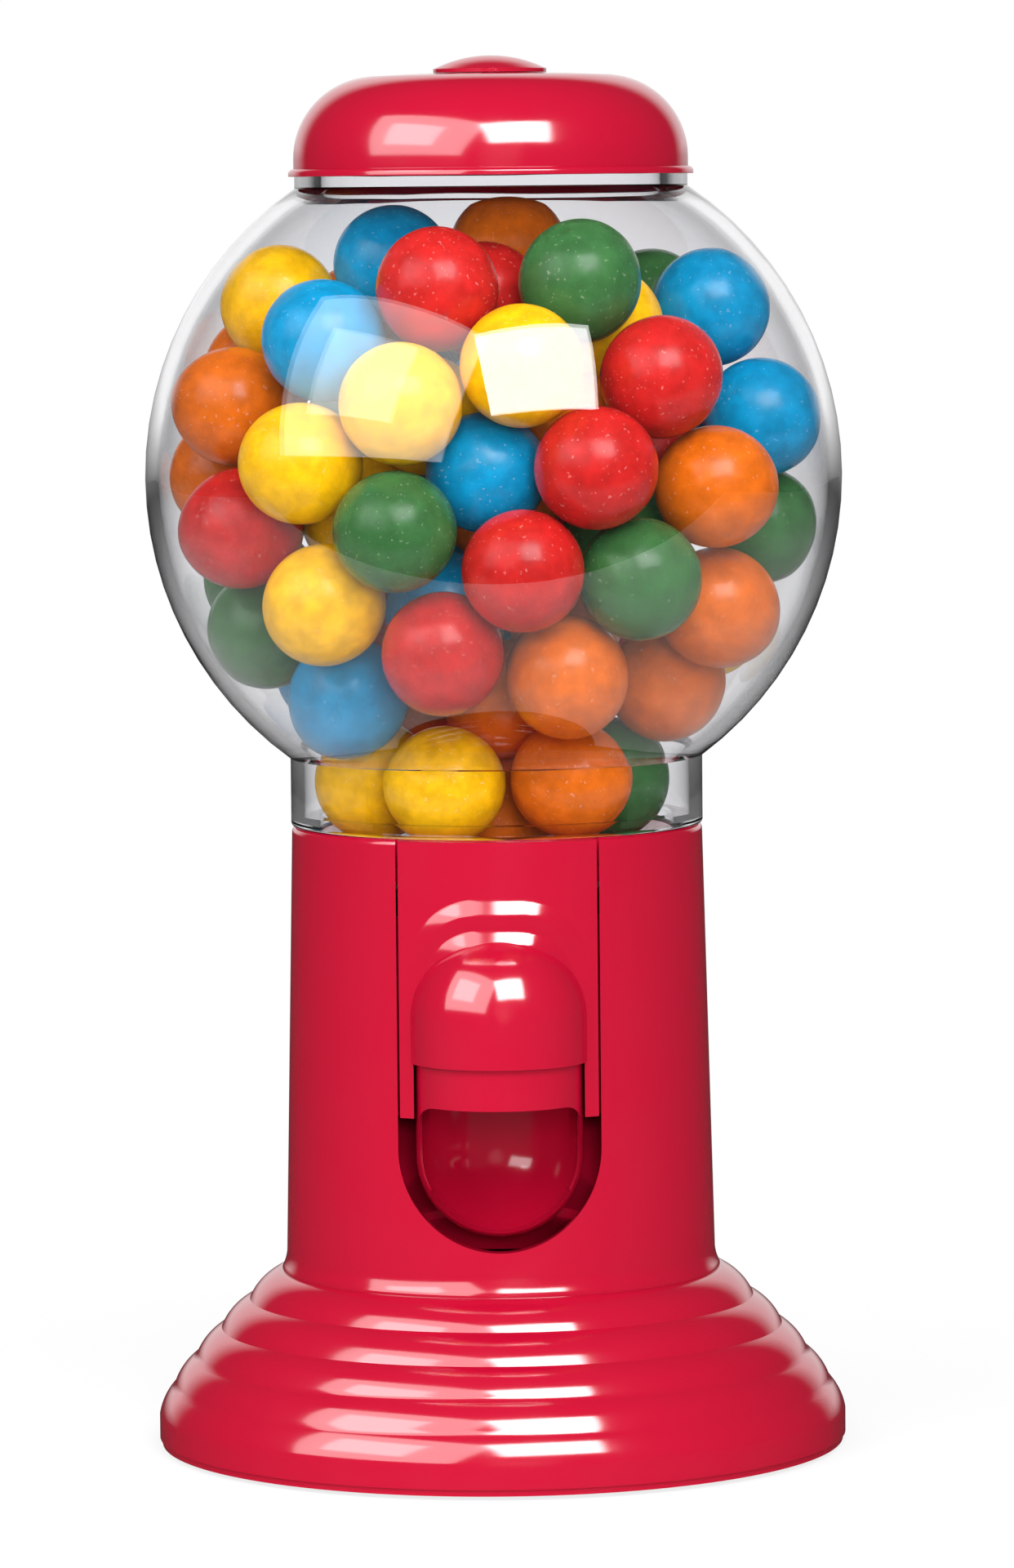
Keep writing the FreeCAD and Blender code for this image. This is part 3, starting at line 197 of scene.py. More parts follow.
def add_node(tree, kind, sockets=(), **settings):
    """Adds a node. Settings are its properties, and sockets gives an input a value or a link."""
    made = tree.nodes.new(kind)
    for key, value in settings.items():
        setattr(made, key, value)
    for key, value in dict(sockets).items():
        if isinstance(value, bpy.types.NodeSocket):
            tree.links.new(value, made.inputs[key])
        else:
            made.inputs[key].default_value = value
    return made


def new_material(name):
    """Empty material and its node tree."""
    material = bpy.data.materials.new(name)
    material.use_nodes = True
    material.node_tree.nodes.clear()
    return material, material.node_tree


def per_metre(millimetres):
    """Noise scale at which one blotch is about that many millimetres wide."""
    return 1 / (millimetres * MM)


def moulded_plastic(name, tint, gloss, ripple_mm):
    """Injection moulded styrene: a deep even colour under a clear polish, with faint waves from the mould."""
    material, tree = new_material(name)
    place = add_node(tree, "ShaderNodeTexCoord").outputs["Object"]
    ripple = add_node(tree, "ShaderNodeTexNoise", {"Vector": place, "Scale": per_metre(ripple_mm),
                                                   "Detail": 2.0})
    bump = add_node(tree, "ShaderNodeBump", {"Height": ripple.outputs["Fac"], "Strength": 0.02,
                                             "Distance": 0.2 * MM})
    handling = add_node(tree, "ShaderNodeTexNoise", {"Vector": place, "Scale": per_metre(9.0), "Detail": 4.0})
    rough = add_node(tree, "ShaderNodeMapRange", {"Value": handling.outputs["Fac"], "From Min": 0.35,
                                                  "From Max": 0.75, "To Min": gloss, "To Max": gloss + 0.05})
    shader = add_node(tree, "ShaderNodeBsdfPrincipled", {
        "Base Color": (*tint, 1.0), "IOR": 2.1, "Roughness": rough.outputs["Result"],
        "Normal": bump.outputs["Normal"]})
    add_node(tree, "ShaderNodeOutputMaterial", {"Surface": shader.outputs["BSDF"]})
    return material


def clear_styrene(tint):
    """Moulded clear styrene: colourless and polished, with slow waves that bend its reflections a little."""
    material, tree = new_material("clear_styrene")
    place = add_node(tree, "ShaderNodeTexCoord").outputs["Object"]
    waves = add_node(tree, "ShaderNodeTexNoise", {"Vector": place, "Scale": per_metre(16.0), "Detail": 1.0})
    bump = add_node(tree, "ShaderNodeBump", {"Height": waves.outputs["Fac"], "Strength": 0.05,
                                             "Distance": 1.0 * MM})
    shader = add_node(tree, "ShaderNodeBsdfPrincipled", {
        "Base Color": (*tint, 1.0), "IOR": 1.58, "Roughness": 0.0, "Transmission Weight": 1.0,
        "Normal": bump.outputs["Normal"]})
    add_node(tree, "ShaderNodeOutputMaterial", {"Surface": shader.outputs["BSDF"]})
    return material


def sugar_shell(name, tint):
    """Panned sugar shell: a waxed, slightly pitted coat with uneven dye and a few pale sugar specks."""
    material, tree = new_material("sugar_shell_" + name)
    place = add_node(tree, "ShaderNodeTexCoord").outputs["Object"]
    dye = add_node(tree, "ShaderNodeTexNoise", {"Vector": place, "Scale": per_metre(2.6), "Detail": 5.0,
                                                "Roughness": 0.6})
    dark = tuple(value * 0.8 for value in tint)
    pale = tuple(min(1.0, value * 1.12) for value in tint)
    mottle = add_node(tree, "ShaderNodeMapRange", {"Value": dye.outputs["Fac"], "From Min": 0.35,
                                                   "From Max": 0.68})
    coat = add_node(tree, "ShaderNodeMix", {"Factor": mottle.outputs["Result"], "A": (*dark, 1.0),
                                            "B": (*pale, 1.0)}, data_type="RGBA")
    grains = add_node(tree, "ShaderNodeTexNoise", {"Vector": place, "Scale": per_metre(0.55), "Detail": 1.0})
    specks = add_node(tree, "ShaderNodeMapRange", {"Value": grains.outputs["Fac"], "From Min": 0.68,
                                                   "From Max": 0.76, "To Max": 0.12})
    sugar = add_node(tree, "ShaderNodeMix", {"Factor": specks.outputs["Result"],
                                             "A": coat.outputs["Result"],
                                             "B": (*linear("#EDE7DC"), 1.0)}, data_type="RGBA")
    pits = add_node(tree, "ShaderNodeTexNoise", {"Vector": place, "Scale": per_metre(0.8), "Detail": 3.0})
    bump = add_node(tree, "ShaderNodeBump", {"Height": pits.outputs["Fac"], "Strength": 0.1,
                                             "Distance": 0.25 * MM})
    wax = add_node(tree, "ShaderNodeMapRange", {"Value": dye.outputs["Fac"], "To Min": 0.2, "To Max": 0.3})
    shader = add_node(tree, "ShaderNodeBsdfPrincipled", {
        "Base Color": sugar.outputs["Result"], "IOR": 1.4, "Roughness": wax.outputs["Result"],
        "Normal": bump.outputs["Normal"]})
    add_node(tree, "ShaderNodeOutputMaterial", {"Surface": shader.outputs["BSDF"]})
    return material


def zinc_steel():
    """Zinc plated steel: a bright grey with fine drawn streaks."""
    material, tree = new_material("zinc_steel")
    place = add_node(tree, "ShaderNodeTexCoord").outputs["Object"]
    grain = add_node(tree, "ShaderNodeTexNoise", {"Vector": place, "Scale": per_metre(0.5), "Detail": 3.0})
    rough = add_node(tree, "ShaderNodeMapRange", {"Value": grain.outputs["Fac"], "To Min": 0.25,
                                                  "To Max": 0.45})
    shader = add_node(tree, "ShaderNodeBsdfPrincipled", {
        "Base Color": (*linear("#B9BBBE"), 1.0), "Metallic": 1.0, "Roughness": rough.outputs["Result"]})
    add_node(tree, "ShaderNodeOutputMaterial", {"Surface": shader.outputs["BSDF"]})
    return material


def black_rubber():
    """Moulded black rubber: matt, with a fine even grain."""
    material, tree = new_material("black_rubber")
    place = add_node(tree, "ShaderNodeTexCoord").outputs["Object"]
    grain = add_node(tree, "ShaderNodeTexNoise", {"Vector": place, "Scale": per_metre(0.4), "Detail": 2.0})
    bump = add_node(tree, "ShaderNodeBump", {"Height": grain.outputs["Fac"], "Strength": 0.3,
                                             "Distance": 0.1 * MM})
    shader = add_node(tree, "ShaderNodeBsdfPrincipled", {
        "Base Color": (*linear("#232323"), 1.0), "Roughness": 0.75, "Normal": bump.outputs["Normal"]})
    add_node(tree, "ShaderNodeOutputMaterial", {"Surface": shader.outputs["BSDF"]})
    return material


def red_plastic(context):
    """The one red plastic that all outer mouldings share."""
    found = bpy.data.materials.get("red_styrene")
    return found or moulded_plastic("red_styrene", context.scene.gumball_colours.plastic, 0.1, 6.0)


def straight_rays(tree, rays):
    """1 for rays that reach the eye through nothing but clear plastic, else 0."""
    bounces = add_node(tree, "ShaderNodeMath", {0: rays.outputs["Diffuse Depth"],
                                                1: rays.outputs["Glossy Depth"]}, operation="ADD")
    unbent = add_node(tree, "ShaderNodeMath", {0: bounces.outputs["Value"], 1: 0.5}, operation="LESS_THAN")
    seen = add_node(tree, "ShaderNodeMath", {0: rays.outputs["Is Camera Ray"],
                                             1: rays.outputs["Is Transmission Ray"]}, operation="MAXIMUM")
    return add_node(tree, "ShaderNodeMath", {0: seen.outputs["Value"], 1: unbent.outputs["Value"]},
                    operation="MULTIPLY").outputs["Value"]


# Shapes

def draw_profile(corners):
    """Closed outline in the XZ plane. A corner is (radius, height), or (radius, height, round) if an arc of
    that radius leaves it, with its centre to the left of its way, or to the right if round is below 0."""
    bm = bmesh.new()
    last = bm.verts.new((corners[0][0], 0, corners[0][1]))
    for corner, target in zip(corners, [*corners[1:], corners[0]]):
        end = Vector((target[0], 0, target[1]))
        if len(corner) == 2:
            point = bm.verts.new(end)
            bm.edges.new((last, point))
            last = point
            continue
        chord = end - last.co
        half = chord.length / 2
        side = math.copysign(1, corner[2])
        aside = Vector((-chord.z, 0, chord.x)).normalized() * side
        centre = (last.co + end) / 2 + aside * math.sqrt(max(corner[2] ** 2 - half ** 2, 0))
        sweep = -side * 2 * math.asin(min(half / abs(corner[2]), 1))
        steps = max(ARC_STEPS_LEAST, math.ceil(abs(sweep) * ARC_STEPS))
        arc = bmesh.ops.spin(bm, geom=[last], cent=centre, axis=(0, 1, 0), angle=sweep, steps=steps)
        last = next(item for item in arc["geom_last"] if isinstance(item, bmesh.types.BMVert))
    bmesh.ops.remove_doubles(bm, verts=bm.verts, dist=WELD)
    return bm


def turned(corners):
    """Closed solid turned from such an outline about the upright axis."""
    bm = draw_profile(corners)
    bmesh.ops.spin(bm, geom=bm.verts[:] + bm.edges[:], cent=(0, 0, 0), axis=(0, 0, 1), angle=math.tau,
                   steps=SPIN_STEPS, use_merge=True)
    bmesh.ops.remove_doubles(bm, verts=bm.verts, dist=WELD)
    bmesh.ops.recalc_face_normals(bm, faces=bm.faces)
    return bm


def deepened(bm, depth):
    """Closed block from such an outline, drawn out to the front."""
    bmesh.ops.contextual_create(bm, geom=bm.edges)
    grown = bmesh.ops.extrude_face_region(bm, geom=bm.faces[:])
    front = [item for item in grown["geom"] if isinstance(item, bmesh.types.BMVert)]
    bmesh.ops.translate(bm, verts=front, vec=(0, -depth, 0))
    bmesh.ops.recalc_face_normals(bm, faces=bm.faces)
    return bm


def shade(mesh):
    """Smooth shading with creases at sharp edges."""
    mesh.polygons.foreach_set("use_smooth", [True] * len(mesh.polygons))
    mesh.set_sharp_from_angle(angle=SHARP_ANGLE)


def new_piece(name, bm, material, body, slot, *nodes):
    """Object from a bmesh that rides on a body and stands for CAD nodes."""
    mesh = bpy.data.meshes.new(name)
    bm.to_mesh(mesh)
    bm.free()
    shade(mesh)
    mesh.materials.append(material)
    piece = bpy.data.objects.new(name, mesh)
    bpy.context.scene.collection.objects.link(piece)
    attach(piece, body)
    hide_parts(*nodes)
    return piece


def red_piece(context, name, bm, body, node):
    """Such an object in the red plastic."""
    return new_piece(name, bm, red_plastic(context), body, "red_plastic", node)


def carve(piece, cutter):
    """Cuts a closed shape out of a piece for good."""
    mesh = bpy.data.meshes.new("cutter")
    cutter.to_mesh(mesh)
    cutter.free()
    tool = bpy.data.objects.new("cutter", mesh)
    bpy.context.scene.collection.objects.link(tool)
    cut = piece.modifiers.new("cut", "BOOLEAN")
    cut.object = tool
    cut.operation = "DIFFERENCE"
    cut.solver = "EXACT"
    bpy.context.view_layer.update()
    graph = bpy.context.evaluated_depsgraph_get()
    piece.data = bpy.data.meshes.new_from_object(piece.evaluated_get(graph))
    piece.modifiers.clear()
    bpy.data.objects.remove(tool)
    shade(piece.data)


def merged_copy(node):
    """Copy of a CAD node's mesh with its loose triangles joined up."""
    bm = bmesh.new()
    bm.from_mesh(frame["nodes"][node].data)
    bmesh.ops.remove_doubles(bm, verts=bm.verts, dist=CAD_WELD)
    return bm


def column_radius(sizes, height):
    """Outer radius of the tapered column at a height."""
    share = (height - BASE_TOP) / (COLUMN_TOP - BASE_TOP)
    return sizes.column_foot + (sizes.column_top - sizes.column_foot) * share


def ball_centres(node):
    """Middle of each separate ball of a CAD node."""
    bm = merged_copy(node)
    left = set(bm.verts)
    centres = []
    while left:
        reached = [left.pop()]
        for vert in reached:
            near = {edge.other_vert(vert) for edge in vert.link_edges} & left
            left -= near
            reached.extend(near)
        spans = [[vert.co[axis] for vert in reached] for axis in range(3)]
        centres.append(Vector([(min(span) + max(span)) / 2 for span in spans]))
    bm.free()
    return sorted(centres, key=lambda centre: tuple(round(value, 6) for value in centre))


# Operators

class GumballBase(bpy.types.Operator):
    """Turns the ringed base."""
    bl_idname = "gumball.base"
    bl_label = "Base"

    def execute(self, context):
        sizes = context.scene.gumball_base
        rings = 5
        spread = 1.3
        corners = [(sizes.radius, sizes.rim)]
        for count in range(rings, -1, -1):
            share = 1 - (1 - count / rings) ** spread
            radius = sizes.ring_top + (sizes.radius - sizes.ring_top) * share
            height = BASE_TOP - count * sizes.ring_pitch
            corners.append((radius, height, sizes.ring_round) if count else (radius, height))
        corners += [
            (sizes.plateau, BASE_TOP),
            (sizes.plateau, BASE_TOP + sizes.plateau_rise),
            (sizes.bore, BASE_TOP + sizes.plateau_rise),
            (sizes.bore, BASE_TOP - sizes.wall),
            (sizes.ring_top - sizes.wall, BASE_TOP - sizes.wall),
            (sizes.radius - sizes.wall, BASE_TOP - rings * sizes.ring_pitch),
            (sizes.radius - sizes.wall, sizes.rim),
        ]
        red_piece(context, "ringed_base", turned(corners), "stand", "base")
        return {"FINISHED"}


class GumballColumn(bpy.types.Operator):
    """Turns the tapered column and cuts the channel for the slide and the chute."""
    bl_idname = "gumball.column"
    bl_label = "Column"

    def execute(self, context):
        sizes = context.scene.gumball_base
        edge = COLUMN_TOP - sizes.column_edge
        inner_foot = BASE_TOP + sizes.plateau_rise
        flare_top = BASE_TOP + sizes.flare_height
        flare = sizes.column_foot + sizes.flare_width
        corners = [
            (flare, BASE_TOP),
            (flare, BASE_TOP + sizes.foot_lip, -sizes.flare_round),
            (column_radius(sizes, flare_top), flare_top),
            (column_radius(sizes, edge), edge, sizes.column_edge),
            (sizes.column_top - sizes.column_edge, COLUMN_TOP),
            (sizes.column_top - sizes.column_wall, COLUMN_TOP),
            (sizes.column_foot - sizes.column_wall, inner_foot),
            (sizes.column_foot - sizes.column_wall, BASE_TOP),
        ]
        column = red_piece(context, "column_shell", turned(corners), "stand", "column")
        carve(column, self.channel(sizes))
        return {"FINISHED"}

    def channel(self, sizes):
        """Block with a round bottom that the channel is cut with."""
        low = BASE_TOP + sizes.channel_rise
        half = sizes.channel_half
        above = COLUMN_TOP + sizes.column_wall
        bm = draw_profile([(half, above), (-half, above), (-half, low + half, half), (0, low, half),
                           (half, low + half)])
        return deepened(bm, sizes.radius)


class GumballPushSlide(bpy.types.Operator):
    """Shapes the push slide with its raised arches and its dome, on the flange and arms of the frame."""
    bl_idname = "gumball.push_slide"
    bl_label = "Push Slide"

    def execute(self, context):
        sizes = context.scene.gumball_slide
        column = context.scene.gumball_base
        slide = red_piece(context, "domed_slide", merged_copy("push_slide"), "slide", "push_slide")
        carve(slide, self.front(column))
        panel = red_piece(context, "slide_panel", self.panel(sizes, column), "slide", "push_slide")
        carve(panel, self.passage(sizes))
        red_piece(context, "slide_dome", self.dome(sizes), "slide", "push_slide")
        return {"FINISHED"}

    def front(self, column):
        """Ring round everything that stands outside the column's bore."""
        play = column.column_edge / 4
        inside = column.column_wall + play
        return turned([(column.column_foot - inside, BASE_TOP), (column.radius, BASE_TOP),
                       (column.radius, LID_SEAT), (column.column_top - inside, COLUMN_TOP)])

    def panel(self, sizes, column):
        """Curved panel as a fine grid that the two arches are raised from."""
        low, high = (corner.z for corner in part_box("push_slide"))
        bm = bmesh.new()
        bmesh.ops.create_grid(bm, x_segments=132, y_segments=184, size=1)
        for vert in bm.verts:
            across = vert.co.x * sizes.half
            up = low + (vert.co.y + 1) / 2 * (high - low)
            out = math.sqrt(column_radius(column, up) ** 2 - across ** 2)
            out += self.raised(across, up, sizes.low_half, sizes.low_top, sizes.low_corner, sizes.bevel,
                               sizes.low_foot) * sizes.low_relief
            out += self.raised(across, up, sizes.high_half, sizes.high_top, sizes.high_corner, sizes.bevel,
                               sizes.high_foot) * sizes.high_relief
            vert.co = (across, -out, up)
        grown = bmesh.ops.extrude_face_region(bm, geom=bm.faces[:], use_keep_orig=True)
        back = [item for item in grown["geom"] if isinstance(item, bmesh.types.BMVert)]
        bmesh.ops.translate(bm, verts=back, vec=(0, sizes.panel, 0))
        bmesh.ops.recalc_face_normals(bm, faces=bm.faces)
        return bm

    def raised(self, across, up, half, top, corner, bevel, foot):
        """Share of a round-cornered arch's relief at a place: 0 outside it, and 1 within its bevel."""
        aside = abs(across) - (half - corner)
        above = up - (top - corner)
        inward = corner - math.hypot(max(aside, 0), max(above, 0)) - min(max(aside, above), 0)
        rise = min(max((up - foot) / (top - bevel - foot), 0), 1)
        return min(max(inward / bevel, 0), 1) * rise

    def passage(self, sizes):
        """Block that opens the panel behind the dome."""
        wide, narrow = sizes.dome - sizes.dome_wall, sizes.passage_half
        shoulder = sizes.dome_middle + sizes.passage_rise
        bm = draw_profile([(wide, shoulder), (narrow, shoulder, narrow), (0, shoulder + narrow, narrow),
                           (-narrow, shoulder), (-wide, shoulder), (-wide, BASE_TOP), (wide, BASE_TOP)])
        return deepened(bm, sizes.dome_reach + sizes.dome)

    def dome(self, sizes):
        """Front half of a round-nosed shell on its own upright axis."""
        middle = sizes.dome_middle
        inner = sizes.dome - sizes.dome_wall
        bm = draw_profile([(sizes.dome, sizes.dome_rim), (sizes.dome, middle, sizes.dome),
                           (0, middle + sizes.dome), (0, middle + inner, -inner), (inner, middle),
                           (inner, sizes.dome_rim)])
        bmesh.ops.translate(bm, verts=bm.verts, vec=(0, -sizes.dome_reach, 0))
        bmesh.ops.spin(bm, geom=bm.verts[:] + bm.edges[:], cent=(0, -sizes.dome_reach, 0), axis=(0, 0, 1),
                       angle=-math.pi, steps=SPIN_STEPS // 2)
        bmesh.ops.remove_doubles(bm, verts=bm.verts, dist=WELD)
        bmesh.ops.triangle_fill(bm, use_beauty=True, edges=[edge for edge in bm.edges if edge.is_boundary])
        bmesh.ops.recalc_face_normals(bm, faces=bm.faces)
        return bm


class GumballChute(bpy.types.Operator):
    """Finishes the chute with its scooped outlet."""
    bl_idname = "gumball.chute"
    bl_label = "Chute"

    def execute(self, context):
        red_piece(context, "scooped_chute", merged_copy("chute"), "stand", "chute")
        return {"FINISHED"}


class GumballGlobe(bpy.types.Operator):
    """Turns the clear globe with its neck, flange and mouth."""
    bl_idname = "gumball.globe"
    bl_label = "Globe"

    def execute(self, context):
        sizes = context.scene.gumball_globe
        hollow = sizes.radius - sizes.wall
        neck_hollow = sizes.neck - sizes.wall
        lip_hollow = sizes.lip - sizes.wall
        edge = sizes.wall / 3
        shoulder = COLUMN_TOP + sizes.neck_height
        centre = shoulder + math.sqrt(sizes.radius ** 2 - sizes.neck ** 2)
        corners = [
            (sizes.spigot, COLUMN_TOP - sizes.spigot_drop),
            (sizes.spigot, COLUMN_TOP),
            (sizes.neck - edge, COLUMN_TOP, edge),
            (sizes.neck, COLUMN_TOP + edge),
            (sizes.neck, shoulder, sizes.radius),
            (sizes.radius, centre, sizes.radius),
            (sizes.mouth, centre + math.sqrt(sizes.radius ** 2 - sizes.mouth ** 2)),
            (sizes.mouth, LID_SEAT),
            (sizes.lip, LID_SEAT),
            (sizes.lip, LID_SEAT + sizes.lip_height),
            (lip_hollow, LID_SEAT + sizes.lip_height),
            (lip_hollow, centre + math.sqrt(hollow ** 2 - lip_hollow ** 2), -hollow),
            (hollow, centre, -hollow),
            (neck_hollow, centre - math.sqrt(hollow ** 2 - neck_hollow ** 2)),
            (neck_hollow, COLUMN_TOP + sizes.neck_lip),
            (sizes.spigot - sizes.spigot_wall, COLUMN_TOP + sizes.neck_lip),
            (sizes.spigot - sizes.spigot_wall, COLUMN_TOP - sizes.spigot_drop),
        ]
        globe = new_piece("clear_globe", turned(corners), clear_styrene(context.scene.gumball_colours.clear),
                          "stand", "clear_plastic", "globe")
        globe.visible_shadow = False
        return {"FINISHED"}


class GumballLid(bpy.types.Operator):
    """Turns the lid with its rolled rim, and the knob on top of it."""
    bl_idname = "gumball.lid"
    bl_label = "Lid and Knob"

    def execute(self, context):
        sizes = context.scene.gumball_globe
        hole = sizes.stem + sizes.stem_fit
        reach = sizes.lid - sizes.lid_round
        crown = (reach ** 2 + sizes.lid_crown ** 2) / (2 * sizes.lid_crown)
        shoulder = LID_TOP - sizes.lid_crown - sizes.lid_round
        ceiling = LID_TOP - sizes.lid_crown - sizes.lid_wall
        lid = turned([
            (sizes.lid + sizes.lid_rim, LID_SEAT),
            (sizes.lid + sizes.lid_rim, LID_SEAT + sizes.lid_rim_height / 2, sizes.lid_rim),
            (sizes.lid, LID_SEAT + sizes.lid_rim_height),
            (sizes.lid, shoulder, sizes.lid_round),
            (reach, LID_TOP - sizes.lid_crown, crown),
            (hole, LID_TOP - crown + math.sqrt(crown ** 2 - hole ** 2)),
            (hole, ceiling),
            (reach, ceiling, -(sizes.lid_round - sizes.lid_wall)),
            (sizes.lid - sizes.lid_wall, shoulder),
            (sizes.lid - sizes.lid_wall, LID_SEAT),
        ])
        red_piece(context, "round_lid", lid, "lid", "lid")
        rise = KNOB_TOP - LID_TOP - sizes.knob_edge
        cap = (sizes.knob ** 2 + rise ** 2) / (2 * rise)
        knob = turned([
            (0, KNOB_FOOT),
            (sizes.stem, KNOB_FOOT),
            (sizes.stem, LID_TOP),
            (sizes.knob, LID_TOP),
            (sizes.knob, LID_TOP + sizes.knob_edge, cap),
            (0, KNOB_TOP),
        ])
        red_piece(context, "knob_cap", knob, "lid", "lid_knob")
        return {"FINISHED"}


class GumballBalls(bpy.types.Operator):
    """Rolls each gumball where the frame holds it, each a little out of round."""
    bl_idname = "gumball.balls"
    bl_label = "Gumballs"

    def execute(self, context):
        colours = context.scene.gumball_colours
        shells = {name: sugar_shell(name, getattr(colours, name)) for name in GUM_COLOURS}
        chance = random.Random(GUM_SEED)
        for name in GUM_COLOURS:
            balls = self.rolled(context, ball_centres("gumballs_" + name), chance)
            new_piece("shelled_" + name, balls, shells[name], "stand", "gum_" + name, "gumballs_" + name)
        loaded = self.rolled(context, ball_centres("gumball_loaded"), chance)
        new_piece("shelled_loaded", loaded, shells["blue"], "drum", "gum_blue", "gumball_loaded")
        return {"FINISHED"}

    def rolled(self, context, centres, chance):
        """Balls of one colour in one bmesh."""
        narrower = 0.012
        lower = 0.02
        bm = bmesh.new()
        for centre in centres:
            turn = Matrix.Rotation(chance.uniform(0, math.tau), 4, chance.choice("XYZ"))
            width = 1 - chance.uniform(0, narrower)
            height = 1 - chance.uniform(0, lower)
            out_of_round = Matrix.Diagonal((1, width, height, 1))
            bmesh.ops.create_icosphere(bm, subdivisions=5, radius=context.scene.gumball_globe.ball,
                                       matrix=Matrix.Translation(centre) @ turn @ out_of_round)
        return bm


class GumballSpring(bpy.types.Operator):
    """Winds the return spring behind the slide."""
    bl_idname = "gumball.spring"
    bl_label = "Return Spring"

    def execute(self, context):
        sizes = context.scene.gumball_globe
        turns = 6
        turn_steps = 24
        steps = turn_steps * turns
        middle = (SPRING_LOW + SPRING_HIGH) / 2
        half = sizes.wire / 2
        climb = SPRING_HIGH.z - SPRING_LOW.z - sizes.wire
        start = Matrix.Translation((middle.x + sizes.spring, middle.y, SPRING_LOW.z + half))
        bm = bmesh.new()
        bmesh.ops.create_circle(bm, cap_ends=True, segments=12, radius=half,
                                matrix=start @ Matrix.Rotation(math.pi / 2, 4, "X"))
        bmesh.ops.spin(bm, geom=bm.faces[:], cent=(middle.x, middle.y, 0), axis=(0, 0, 1),
                       dvec=(0, 0, climb / steps), angle=math.tau * turns, steps=steps)
        bmesh.ops.recalc_face_normals(bm, faces=bm.faces)
        spring = new_piece("wound_spring", bm, zinc_steel(), "stand", "steel", "return_spring")
        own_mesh(spring)
        return {"FINISHED"}


class GumballWorks(bpy.types.Operator):
    """Gives the inner works, screws and feet their finishes."""
    bl_idname = "gumball.works"
    bl_label = "Inner Works"

    def execute(self, context):
        finishes = {
            "white_plastic": moulded_plastic("white_styrene", context.scene.gumball_colours.white, 0.35, 3.0),
            "red_plastic": red_plastic(context),
            "steel": bpy.data.materials.get("zinc_steel") or zinc_steel(),
            "rubber": black_rubber(),
        }
        for part in frame["record"]["subparts"]:
            node = frame["nodes"][part["node"]]
            if part["material_slot"] in finishes and not node.hide_render:
                node.data.materials.clear()
                node.data.materials.append(finishes[part["material_slot"]])
        return {"FINISHED"}


